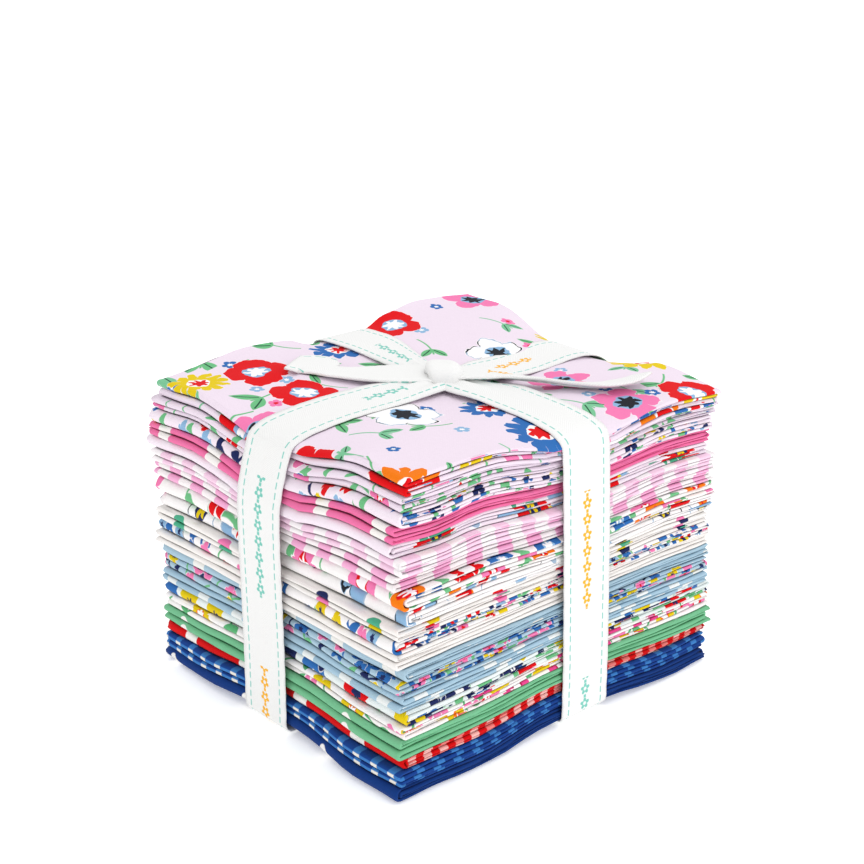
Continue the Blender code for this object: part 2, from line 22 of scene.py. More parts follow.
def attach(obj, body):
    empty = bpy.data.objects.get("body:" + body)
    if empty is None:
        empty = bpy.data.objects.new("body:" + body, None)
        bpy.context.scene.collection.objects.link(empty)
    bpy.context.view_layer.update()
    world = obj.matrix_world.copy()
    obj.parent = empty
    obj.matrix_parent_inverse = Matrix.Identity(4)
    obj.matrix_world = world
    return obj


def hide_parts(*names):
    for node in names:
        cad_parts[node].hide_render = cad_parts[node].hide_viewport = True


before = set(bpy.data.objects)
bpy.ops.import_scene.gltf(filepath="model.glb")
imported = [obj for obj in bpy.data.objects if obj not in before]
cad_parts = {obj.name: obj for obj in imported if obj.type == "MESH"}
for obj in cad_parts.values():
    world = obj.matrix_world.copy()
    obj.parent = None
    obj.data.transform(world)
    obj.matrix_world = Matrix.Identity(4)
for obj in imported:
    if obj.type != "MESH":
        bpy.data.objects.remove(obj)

Array = np.ndarray
Socket = bpy.types.NodeSocket
Value = Union[float, tuple, Socket]

MM = 0.001
BODY = "root"
PRINT_MAP = "cut"
BAKE_MAP = "OFBake"
LOG = logging.getLogger("bundle")

# A fat quarter is a yard of 42 in cloth cut in four: 18 by 21 in.
CUT_WIDTH = 457.0
CUT_LENGTH = 533.0

# Width over which the tape's hollow in the stack fades, beside the tape.
GROOVE_FADE = 28.0


def linear(code: str) -> tuple[float, float, float, float]:
    """Turn an sRGB hex colour such as "#F3E6F3" into linear RGBA.

    Args:
        code: the colour as # and six hex digits.

    Returns:
        Linear red, green, blue and an alpha of 1.
    """
    parts = [int(code[i:i + 2], 16) / 255 for i in (1, 3, 5)]
    out = [c / 12.92 if c <= 0.04045 else ((c + 0.055) / 1.055) ** 2.4 for c in parts]
    return (out[0], out[1], out[2], 1.0)


def smooth(value: Array) -> Array:
    """Ease from 0 to 1 while value goes from 0 to 1."""
    t = np.clip(value, 0.0, 1.0)
    return t * t * (3 - 2 * t)


# ---- form of the stack


@dataclass(frozen=True)
class Swell:
    """A soft rise or hollow in the layers.

    Heights are at the middle; the reach is where the rise has dropped to about a third.
    """

    x: float
    y: float
    share: float
    reach_x: float
    reach_y: float
    reach_share: float
    height: float

    def at(self, x: Array, y: Array, share: float) -> Array:
        """Height of the rise on the layer that lies at this share of the stack."""
        far = ((x - self.x) / self.reach_x) ** 2 + ((y - self.y) / self.reach_y) ** 2
        return self.height * np.exp(-far - ((share - self.share) / self.reach_share) ** 2)


@dataclass(frozen=True)
class Crease:
    """A soft trough (negative height) or ridge along a straight line on the top cloth."""

    x0: float
    y0: float
    x1: float
    y1: float
    half_width: float
    height: float
    # Share of its length over which each end fades.
    fade: float = 0.3

    def at(self, x: Array, y: Array) -> Array:
        """Height of the crease, fading at both ends of its line.

        Args:
            x: places across the stack.
            y: places along the stack.

        Returns:
            Heights in millimetres.
        """
        run = np.array([self.x1 - self.x0, self.y1 - self.y0])
        length = float(np.hypot(*run))
        unit = run / length
        along = (x - self.x0) * unit[0] + (y - self.y0) * unit[1]
        beside = (x - self.x0) * -unit[1] + (y - self.y0) * unit[0]
        reach = self.fade * length
        fade = smooth(along / reach) * smooth((length - along) / reach)
        return self.height * fade * np.exp(-((beside / self.half_width) ** 2))


# Columns: x, y, share, reach x, reach y, reach in share, height.
SWELLS = (
    Swell(1.5, 31.0, 1.00, 12.0, 15.0, 0.12, -1.5),
    Swell(57.0, -54.0, 1.00, 16.0, 10.0, 0.07, 1.2),
    Swell(57.0, -52.0, 0.84, 16.0, 9.0, 0.08, -1.2),
    Swell(57.0, -36.0, 0.80, 14.0, 9.0, 0.20, 0.6),
    Swell(57.0, 44.0, 0.55, 14.0, 12.0, 0.25, 0.5),
    Swell(36.0, -66.5, 0.98, 12.0, 10.0, 0.02, 0.5),
    Swell(-40.0, -66.5, 0.75, 14.0, 10.0, 0.20, 0.6),
    Swell(38.0, -66.5, 0.40, 14.0, 10.0, 0.18, -0.5),
)

# Columns: start x and y, end x and y, half width, height.
CREASES = (
    Crease(-4.0, -4.0, -52.0, -26.0, 5.0, -0.9),
    Crease(-9.0, -12.0, -38.0, -58.0, 6.0, -0.7),
    Crease(8.0, -8.0, 50.0, -44.0, 7.0, -0.5),
    Crease(6.0, -10.0, 24.0, -60.0, 5.0, 0.5),
    Crease(10.0, 12.0, 50.0, 54.0, 8.0, -0.6),
    Crease(-8.0, 14.0, -46.0, 56.0, 9.0, -0.5),
    Crease(-30.0, 24.0, -6.0, 60.0, 6.0, 0.5),
    Crease(20.0, 26.0, 52.0, 24.0, 6.0, 0.4),
)


@dataclass(frozen=True)
class Pinch:
    """How deep the tape presses one side's edge of the top in, and where it does so."""

    depth: float
    centre: float


@dataclass(frozen=True)
class StackShape:
    """Where the faces between the cuts lie, and how the tape presses on them.

    The corners are heights of the top's four corners, read from the photograph; cushions are the
    soft rises beside the tape.
    """

    half_x: float = 57.5
    half_y: float = 67.1
    foot: float = 1.75
    top: float = 96.0
    corner_left: float = 96.0
    corner_front: float = 98.2
    corner_right: float = 94.2
    corner_back: float = 100.0
    sag: float = 1.4
    puff: float = 2.6
    left_puff: float = 2.4
    left_puff_fade: float = 10.0
    pinch_left: Pinch = Pinch(1.2, 5.5)
    pinch_front: Pinch = Pinch(4.4, 0.5)
    pinch_right: Pinch = Pinch(3.0, 5.5)
    pinch_back: Pinch = Pinch(5.8, -4.5)
    bend: float = 1.6
    bend_reach: float = 5.0
    bend_fade: float = 9.0
    top_run: float = 92.5
    foot_droop: float = 1.5
    foot_fade: float = 40.0
    foot_cuts: int = 4
    foot_bulge: float = 1.0
    press: float = 0.9
    groove_x: float = 1.5
    groove_y: float = 5.5
    lean_x: float = -3.2
    lean_y: float = 4.4
    groove_half: float = 11.0
    ripple: float = 0.16
    # How fast the top's and the foot's shape fade into the stack, and how much of a swell
    # reaches the top.
    fade_power: float = 2.5
    top_swell: float = 0.7

    def groove(self, offset: Array, fade: float = GROOVE_FADE) -> Array:
        """1 under the tape, fading to 0 beside it."""
        return 1 - smooth((np.abs(offset) - self.groove_half) / fade)

    def cushion(self, offset: Array, half: float) -> Array:
        """0 under the tape and at the stack's edge, 1 midway between."""
        t = (np.abs(offset) - self.groove_half) / (half - self.groove_half)
        return np.sin(np.pi * np.clip(t, 0.0, 1.0)) ** 2

    def pinched(self, place: Array, share: Array, low: Pinch, high: Pinch) -> Array:
        """Depth that the tape presses in at two opposite sides.

        Args:
            place: places along those sides.
            share: places across, from -1 at the low side to 1 at the high side.
            low: the pinch of the low side.
            high: the pinch of the high side.

        Returns:
            Depths in millimetres.
        """
        at_low = low.depth * self.groove(place - low.centre)
        at_high = high.depth * self.groove(place - high.centre)
        return np.where(share > 0, at_high, at_low) * share ** 8

    def bent(self, place: Array, across: Array, half: float) -> Array:
        """Drop of the cloth where the tape bends it over the stack's edge."""
        near = np.clip((np.abs(across) - half + self.bend_reach) / self.bend_reach, 0.0, 1.3)
        return self.bend * self.groove(place, self.bend_fade) * near ** 2

    def rise(self, x: Array, y: Array) -> Array:
        """Height of the top face above the stack's nominal top.

        Args:
            x: places across the stack.
            y: places along the stack.

        Returns:
            Heights in millimetres.
        """
        p = x / self.half_x
        q = y / self.half_y
        left = self.corner_left * (1 - q) + self.corner_back * (1 + q)
        right = self.corner_front * (1 - q) + self.corner_right * (1 + q)
        corners = (left * (1 - p) + right * (1 + p)) / 4
        middle = -self.sag * (1 - p ** 4) * (1 - q ** 4)
        beside_x = x - self.groove_x
        beside_y = y - self.groove_y
        cushions = self.cushion(beside_x, self.half_x) + self.cushion(beside_y, self.half_y)
        puffs = self.puff * cushions / 2
        beside = (1 - self.groove(beside_y, self.left_puff_fade)) * (1 - q * q)
        puffs = puffs + self.left_puff * beside * np.minimum(p, 0.0) ** 8
        pinch = self.pinched(x, q, self.pinch_front, self.pinch_back)
        pinch = pinch + self.pinched(y, p, self.pinch_left, self.pinch_right)
        bend = self.bent(beside_x, y, self.half_y) + self.bent(beside_y, x, self.half_x)
        return corners + middle + puffs - pinch - bend - self.top

    def droop(self, x: Array, y: Array) -> Array:
        """How far the bottom face sinks beside the tape.

        Args:
            x: places across the stack.
            y: places along the stack.

        Returns:
            Depths in millimetres.
        """
        beside_x = 1 - self.groove(x - self.groove_x - self.lean_x, self.foot_fade)
        beside_y = 1 - self.groove(y - self.groove_y - self.lean_y, self.foot_fade)
        return self.foot_droop * beside_x * beside_y

    def pressed(self, number: int, offset: Array, half: float) -> Array:
        """How far one cut's side stands in: pressed by the tape, bulging out at the foot.

        Args:
            number: the cut's place in the stack, from the bottom.
            offset: places along the side, from the tape's middle.
            half: half of the side's length.

        Returns:
            Distances inwards in millimetres.
        """
        low = max(0.0, 1 - number / self.foot_cuts)
        return self.press * self.groove(offset) - low * self.foot_bulge * self.cushion(offset, half)

    def wave(self, level: int, x: Array, y: Array) -> Array:
        """Small unevenness of the face between two cuts.

        Args:
            level: number of cuts below the face.
            x: places across the stack.
            y: places along the stack.

        Returns:
            Heights in millimetres.
        """
        p = x / self.half_x
        q = y / self.half_y
        first = np.sin(1.9 * level + 2.2 * p + 0.7 * q)
        second = np.sin(2.7 * level - 0.8 * p + 2.0 * q)
        return self.ripple * (first + second)

    def face(self, level: int, share: float, x: Array, y: Array) -> Array:
        """Height of the face under one cut.

        Args:
            level: number of cuts below the face.
            share: how much of the stack's height those cuts take.
            x: places across the stack.
            y: places along the stack.

        Returns:
            Heights over the surface that the bundle rests on.
        """
        height = self.foot + share * (self.top - self.foot)
        height = height + share ** self.fade_power * self.rise(x, y)
        height = height - (1 - share) ** self.fade_power * self.droop(x, y)
        if 0.0 < share < 1.0:
            height = height + self.wave(level, x, y)
            middle = np.sin(np.pi * share) ** 0.5
        else:
            middle = self.top_swell if share == 1.0 else 0.0
        for swell in SWELLS:
            height = height + middle * swell.at(x, y, share)
        return height


# ---- node trees


# Printed edges are soft over this much, in millimetres.
PRINT_BLUR = 0.18


class Shade:
    """A material's node tree, with the one way in which nodes are added to it."""

    def __init__(self, name: str) -> None:
        """Start an empty material.

        Args:
            name: the material's name.
        """
        self.material = bpy.data.materials.new(name)
        self.material.use_nodes = True
        self.tree = self.material.node_tree
        self.tree.nodes.clear()

    def add(
        self,
        kind: str,
        *values: Union[Value, dict],
        take: Union[int, str, None] = 0,
        stops: Sequence = (),
        **settings: object,
    ) -> Union[Socket, bpy.types.Node]:
        """Add one node with its settings, values and links.

        Args:
            kind: the node's type without the ShaderNode prefix or, in capitals, an operation of
                the Math node, of which the patterns mostly consist.
            *values: values or sockets for the inputs in their order, or one dict of them by the
                inputs' names or numbers.
            take: which output to return, or None for the node itself.
            stops: places and colours of a stepped colour ramp.
            **settings: options of the node.

        Returns:
            The output socket, or the node.
        """
        if kind.isupper():
            kind, settings["operation"] = "Math", kind
        made = self.tree.nodes.new("ShaderNode" + kind)
        for name, value in settings.items():
            setattr(made, name, value)
        inputs = values[0] if values and isinstance(values[0], dict) else dict(enumerate(values))
        for key, value in inputs.items():
            socket = made.inputs[key]
            if isinstance(value, Socket):
                self.tree.links.new(value, socket)
            else:
                socket.default_value = value[:3] if socket.type == "VECTOR" else value
        if stops:
            elements = made.color_ramp.elements
            made.color_ramp.interpolation = "CONSTANT"
            while len(elements) < len(stops):
                elements.new(1.0)
            for element, (place, colour) in zip(elements, stops):
                element.position = place
                element.color = colour
        return made if take is None else made.outputs[take]

    def cloth_place(self) -> Socket:
        """Place on the flat cloth, in millimetres."""
        flat = self.add("UVMap", uv_map=PRINT_MAP)
        return self.add("VectorMath", {0: flat, "Scale": 1 / MM}, operation="SCALE")

    def distance(self, x: Value, y: Value) -> Socket:
        """Distance of a place from the middle of a motif."""
        return self.add("SQRT", self.add("ADD", self.add("MULTIPLY", x, x), self.add("MULTIPLY", y, y)))

    def inked(self, inside: Value, kept: Value = 1.0, blur: float = PRINT_BLUR) -> Socket:
        """Mask of a printed shape, with its slightly soft edge.

        Args:
            inside: distance inside the shape's outline.
            kept: 1 where the shape is printed and 0 where it is left out.
            blur: width over which the edge is soft.

        Returns:
            1 on the ink and 0 off it.
        """
        mask = self.add("MULTIPLY_ADD", inside, 1 / blur, 0.5, use_clamp=True)
        return mask if kept == 1.0 else self.add("MULTIPLY", mask, kept)

    def lay(self, colour: Value, *inks: tuple) -> Socket:
        """Print inks over a colour, one after the other.

        Args:
            colour: the colour so far.
            *inks: pairs of an ink, as a hex colour or a socket, and the mask that it prints.

        Returns:
            The colour with the inks on it.
        """
        for ink, mask in inks:
            over = linear(ink) if isinstance(ink, str) else ink
            colour = self.add("Mix", {0: mask, 6: colour, 7: over}, take=2, data_type="RGBA")
        return colour

    def draw_lot(self, lot: Value, codes: Sequence) -> Socket:
        """Pick one of several colours by a lot from 0 to 1."""
        stops = [(i / len(codes), linear(code)) for i, code in enumerate(codes)]
        return self.add("ValToRGB", lot, stops=stops)


# ---- printed patterns


@dataclass(frozen=True)
class Scatter:
    """Places motifs at uneven spots of the cloth, each with its own turn and lot."""

    cell: float
    jitter: float = 0.6
    seed: float = 0.0
    # Two seeds read the scatter this far apart, in millimetres.
    seed_step: tuple = (37.3, 71.9, 0.0)

    def local(self, shade: Shade, coords: Value) -> tuple:
        """Coordinates about the nearest motif.

        Args:
            shade: the tree to add to.
            coords: place on the flat cut, in millimetres.

        Returns:
            Vector from the motif's middle in millimetres, turned at random, and three lots
            from 0 to 1.
        """
        add = shade.add
        far = tuple(self.seed * step for step in self.seed_step)
        moved = add("VectorMath", coords, far, operation="ADD")
        scaled = add("VectorMath", {0: moved, "Scale": 1 / self.cell}, operation="SCALE")
        cells = add(
            "TexVoronoi", {"Vector": scaled, "Scale": 1.0, "Randomness": self.jitter},
            take=None, voronoi_dimensions="2D",
        )
        offset = add("VectorMath", scaled, cells.outputs["Position"], operation="SUBTRACT")
        offset = add("VectorMath", {0: offset, "Scale": self.cell}, operation="SCALE")
        lots = add("SeparateColor", cells.outputs["Color"], take=None).outputs
        turn = add("MULTIPLY", lots[0], 2 * math.pi)
        turned = add("VectorRotate", {"Vector": offset, "Angle": turn}, rotation_type="Z_AXIS")
        return turned, lots[1], lots[2], lots[0]


@dataclass(frozen=True)
class Flower:
    """One kind of flower in a print: its share of the places, outline and colours."""

    share: float
    petals: int
    notch: float
    colour: str
    heart: str
    speck: str
    ring: float = 0.0


@dataclass(frozen=True)
class Blooms:
    """Flowers with round or cut petals, a white halo, a heart and specks round it.

    The heart, its rim and its fringe are shares of the radius; the line's sizes are millimetres.
    """

    scatter: Scatter
    radius: float
    kinds: tuple
    heart: float = 0.3
    halo: float = 0.5
    wobble: float = 1.6
    keep: float = 1.0
    halo_colour: str = "#FDFBFC"
    line_colour: str = "#23262E"
    wash_colour: str = "#A9BFD6"
    most_petals: int = 16
    petal_round: float = 0.55
    smallest: float = 0.8
    growth: float = 0.25
    line_inset: float = 0.4
    line_half: float = 0.26
    stroke_gap: float = 0.45
    rim: float = 0.1
    fringe: float = 0.07
    fringe_count: float = 7.0

    def pick(self, shade: Shade, lot: Value) -> list:
        """Let a lot pick each flower's kind.

        Args:
            shade: the tree to add to.
            lot: a number from 0 to 1 for each flower.

        Returns:
            The petals', heart's and specks' colours, and the count of petals, the notch and the
            ring as one colour's red, green and blue.
        """
        places = np.cumsum([0.0] + [kind.share for kind in self.kinds[:-1]]).tolist()
        looks = zip(*(
            (linear(kind.colour), linear(kind.heart), linear(kind.speck),
             (kind.petals / self.most_petals, kind.notch, kind.ring, 1.0))
            for kind in self.kinds
        ))
        return [shade.add("ValToRGB", lot, stops=list(zip(places, look))) for look in looks]

    def paint(self, shade: Shade, coords: Value, under: Value) -> Socket:
        """Paint the flowers over a colour.

        Args:
            shade: the tree to add to.
            coords: place on the flat cut, in millimetres.
            under: the colour so far.

        Returns:
            The colour with the flowers on it.
        """
        add = shade.add
        rough = add("TexNoise", {"Vector": coords, "Scale": 2.6 / self.radius, "Detail": 2.0}, take="Color")
        rough = add("VectorMath", rough, (0.5, 0.5, 0.5), operation="SUBTRACT")
        rough = add("VectorMath", {0: rough, "Scale": self.wobble}, operation="SCALE")
        spot, lot, size, chance = self.scatter.local(shade, coords)
        x, y, _ = add("SeparateXYZ", add("VectorMath", spot, rough, operation="ADD"), take=None).outputs
        far = shade.distance(x, y)
        angle = add("ARCTAN2", y, x)
        petal, heart, speck, form = self.pick(shade, lot)
        petals, notch, ring = add("SeparateColor", form, take=None).outputs
        turns = add("MULTIPLY", add("MULTIPLY", petals, self.most_petals / 2), angle)
        lobe = add("POWER", add("ABSOLUTE", add("COSINE", turns)), self.petal_round)
        dip = add("MULTIPLY", notch, add("SUBTRACT", 1.0, lobe))
        scale = add("MULTIPLY_ADD", size, self.growth, self.smallest)
        reach = add("MULTIPLY", add("MULTIPLY", scale, self.radius), add("SUBTRACT", 1.0, dip))
        inside = add("SUBTRACT", reach, far)
        kept = add("LESS_THAN", chance, self.keep)
        body = shade.inked(inside, kept)
        # A pale line just inside the petals with darker strokes, on the kinds that have one.
        line = add("LESS_THAN", add("ABSOLUTE", add("SUBTRACT", inside, self.line_inset)), self.line_half)
        line = add("MULTIPLY", line, add("MULTIPLY", ring, body))
        strokes = add("GREATER_THAN", add("SINE", add("MULTIPLY_ADD", angle, 3.0, far)), self.stroke_gap)
        core = add("SUBTRACT", add("MULTIPLY", scale, self.radius * self.heart), far)
        teeth = add("COSINE", add("MULTIPLY", angle, self.fringe_count))
        fringe = add("MULTIPLY_ADD", teeth, self.fringe * self.radius, core)
        return shade.lay(
            under,
            (self.halo_colour, shade.inked(add("ADD", inside, self.halo), kept)),
            (petal, body),
            (self.wash_colour, line),
            (self.line_colour, add("MULTIPLY", line, strokes)),
            (speck, shade.inked(add("ADD", core, self.rim * self.radius), kept)),
            (heart, shade.inked(fringe, kept)),
        )


@dataclass(frozen=True)
class Sprigs:
    """Leaves in pairs along a short curved stem."""

    scatter: Scatter
    leaf: float
    colours: tuple
    slim: float = 0.42
    keep: float = 0.7
    stem: float = 0.35
    vein: str = ""
    slant: float = math.radians(38)
    curve: float = 0.22
    vein_half: float = 0.25
    vein_end: float = 0.8

    def paint(self, shade: Shade, coords: Value, under: Value) -> Socket:
        """Paint the sprigs over a colour.

        Args:
            shade: the tree to add to.
            coords: place on the flat cut, in millimetres.
            under: the colour so far.

        Returns:
            The colour with the sprigs on it.
        """
        add = shade.add
        spot, lot, size, chance = self.scatter.local(shade, coords)
        x, y, _ = add("SeparateXYZ", spot, take=None).outputs
        bend = add("MULTIPLY", add("MULTIPLY", x, x), self.curve / self.leaf)
        y = add("ABSOLUTE", add("SUBTRACT", y, bend))
        # Each leaf grows from the stem at a slant, so its own axes are the stem's turned.
        cos, sin = math.cos(self.slant), math.sin(self.slant)
        along = add("ADD", add("MULTIPLY", x, cos), add("MULTIPLY", y, sin))
        aside = add("ABSOLUTE", add("SUBTRACT", add("MULTIPLY", y, cos), add("MULTIPLY", x, sin)))
        grown = add("MULTIPLY_ADD", size, 0.4 * self.leaf, 0.8 * self.leaf)
        middle = add("MULTIPLY", grown, 0.5)
        t = add("DIVIDE", add("SUBTRACT", along, middle), middle)
        lens = add("SUBTRACT", 1.0, add("MULTIPLY", t, t))
        half = add("MULTIPLY", add("MULTIPLY", grown, self.slim * 0.5), lens)
        blade = shade.inked(add("SUBTRACT", half, aside))
        short = add("LESS_THAN", add("ABSOLUTE", add("ADD", x, self.leaf * 0.25)), self.leaf * 0.75)
        stalk = shade.inked(add("SUBTRACT", self.stem, y), short)
        kept = add("LESS_THAN", chance, self.keep)
        mask = add("MULTIPLY", add("MAXIMUM", blade, stalk), kept)
        colour = shade.lay(under, (shade.draw_lot(lot, self.colours), mask))
        if not self.vein:
            return colour
        rib = add("LESS_THAN", aside, self.vein_half)
        within = shade.inked(add("SUBTRACT", half, self.vein_end), kept)
        return shade.lay(colour, (self.vein, add("MULTIPLY", rib, within)))


class SpotForm(Enum):
    """Outline of a spot."""

    DISC = "disc"
    SQUARE = "square"


@dataclass(frozen=True)
class Spots:
    """Small plain marks in rows, straight or in brick order, in one or several colours."""

    pitch: float
    size: float
    colours: tuple
    form: SpotForm = SpotForm.DISC
    shift: tuple = (0.0, 0.0)
    brick: bool = True
    tall: float = 1.0

    def paint(self, shade: Shade, coords: Value, under: Value) -> Socket:
        """Paint the spots over a colour.

        Args:
            shade: the tree to add to.
            coords: place on the flat cut, in millimetres.
            under: the colour so far.

        Returns:
            The colour with the spots on it.
        """
        add = shade.add
        across, along, _ = add("SeparateXYZ", coords, take=None).outputs
        height = self.pitch * self.tall
        v = add("DIVIDE", add("ADD", along, self.shift[1]), height)
        row = add("FLOOR", v)
        half = add("MULTIPLY", add("MODULO", row, 2.0), 0.5 if self.brick else 0.0)
        u = add("ADD", add("DIVIDE", add("ADD", across, self.shift[0]), self.pitch), half)
        x = add("MULTIPLY", add("SUBTRACT", add("FRACT", u), 0.5), self.pitch)
        y = add("MULTIPLY", add("SUBTRACT", add("FRACT", v), 0.5), height)
        if self.form is SpotForm.DISC:
            far = shade.distance(x, y)
        else:
            far = add("MAXIMUM", add("ABSOLUTE", x), add("ABSOLUTE", y))
        cell = add("CombineXYZ", add("FLOOR", u), row, 0.0)
        lot = add("TexWhiteNoise", cell, noise_dimensions="3D")
        mask = shade.inked(add("SUBTRACT", self.size / 2, far))
        return shade.lay(under, (shade.draw_lot(lot, self.colours), mask))


@dataclass(frozen=True)
class Gingham:
    """A woven check: full colour where the bands cross, half colour on one band."""

    pitch: float
    colour: str
    half: str
    shift: tuple = (0.0, 0.0)
    band: float = 0.5

    def paint(self, shade: Shade, coords: Value, under: Value) -> Socket:
        """Paint the check over a colour.

        Args:
            shade: the tree to add to.
            coords: place on the flat cut, in millimetres.
            under: the colour so far.
        """
        add = shade.add
        sides = add("SeparateXYZ", coords, take=None).outputs
        bands = []
        for side, shift in zip(sides, self.shift):
            place = add("FRACT", add("DIVIDE", add("ADD", side, shift), self.pitch))
            inside = add("SUBTRACT", self.band / 2, add("ABSOLUTE", add("SUBTRACT", place, 0.5)))
            bands.append(shade.inked(add("MULTIPLY", inside, self.pitch)))
        either = add("MAXIMUM", *bands)
        both = add("MULTIPLY", *bands)
        return shade.lay(under, (self.half, either), (self.colour, both))


# ---- finishes


@dataclass(frozen=True)
class QuiltingCotton:
    """Plain-woven quilting cotton, printed on one side and calendered.

    The eye sees a matt cloth with a faint dry sheen, a fine even grain of threads and ink that
    sits a little unevenly on them.
    """

    name: str
    ground: str
    prints: tuple = ()
    # Real threads lie 0.35 mm apart, about one pixel; they are drawn 0.7 mm apart to show.
    thread: float = 0.7
    # Thick and thin places of the yarn, some 2 mm long.
    slub: float = 2.0
    mottle: float = 0.06
    weave_share: float = 0.25
    # Bleached cotton gives back this share of the light that falls on it.
    reflect: float = 0.88
    roughness: float = 0.88
    # Painted shade: clefts between layers are darkened and deepened in colour by ambient occlusion.
    painted_shade_reach: float = 0.9
    painted_shade_gain: float = 1.55
    painted_shade_power: float = 1.0
    side_painted_shade_power: float = 0.15
    turn_reach: float = 4.0
    painted_shade_deepening: float = 0.7

    def material(self) -> bpy.types.Material:
        """Build the node material of this cotton.

        Returns:
            The material.
        """
        shade = Shade(self.name)
        add = shade.add
        coords = shade.cloth_place()
        colour = linear(self.ground)
        for pattern in self.prints:
            colour = pattern.paint(shade, coords, colour)
        across, along, _ = add("SeparateXYZ", coords, take=None).outputs
        waves = [add("SINE", add("MULTIPLY", side, 2 * math.pi / self.thread)) for side in (across, along)]
        yarn = add("TexNoise", {"Vector": coords, "Scale": 1 / self.slub, "Detail": 4.0, "Roughness": 0.75})
        fibre = add("TexNoise", {"Vector": coords, "Scale": 1 / self.thread, "Detail": 2.0})
        grain = add("ADD", add("MULTIPLY", add("MULTIPLY", *waves), self.weave_share), fibre)
        tone = add("MULTIPLY_ADD", add("ADD", yarn, grain), self.mottle, self.reflect - self.mottle)
        # Painted shade: the colour is darkened where ambient occlusion finds the cloth closed in.
        open_sky = add("AmbientOcclusion", {"Distance": self.painted_shade_reach * MM}, take="AO", samples=6)
        open_sky = add("MULTIPLY", open_sky, self.painted_shade_gain, use_clamp=True)
        # The narrow turns at the sides lie open to the light and darken least.
        inwards = add("PINGPONG", across, CUT_WIDTH / 8)
        inwards = add("DIVIDE", inwards, self.turn_reach, use_clamp=True)
        power = add("MULTIPLY_ADD", inwards, self.painted_shade_power - self.side_painted_shade_power, self.side_painted_shade_power)
        tone = add("MULTIPLY", tone, add("POWER", open_sky, power))
        # Light in a cleft has met the same cloth several times, which deepens its colour.
        depth = add("MULTIPLY_ADD", open_sky, -self.painted_shade_deepening, 1 + self.painted_shade_deepening)
        deep = add("Gamma", colour, depth)
        shaded = add("VectorMath", {0: deep, "Scale": tone}, operation="SCALE")
        bump = add("Bump", {"Strength": 0.35, "Distance": 0.12 * MM, "Height": grain})
        shader = add("BsdfPrincipled", {
            "Base Color": shaded, "Roughness": self.roughness, "Normal": bump, "Sheen Weight": 0.03,
            "Sheen Roughness": 0.6, "Specular IOR Level": 0.08,
        })
        add("OutputMaterial", shader, take=None)
        return shade.material


@dataclass(frozen=True)
class Zone:
    """A stretch of the tape that carries the small ornament."""

    start: float
    stop: float
    colour: str


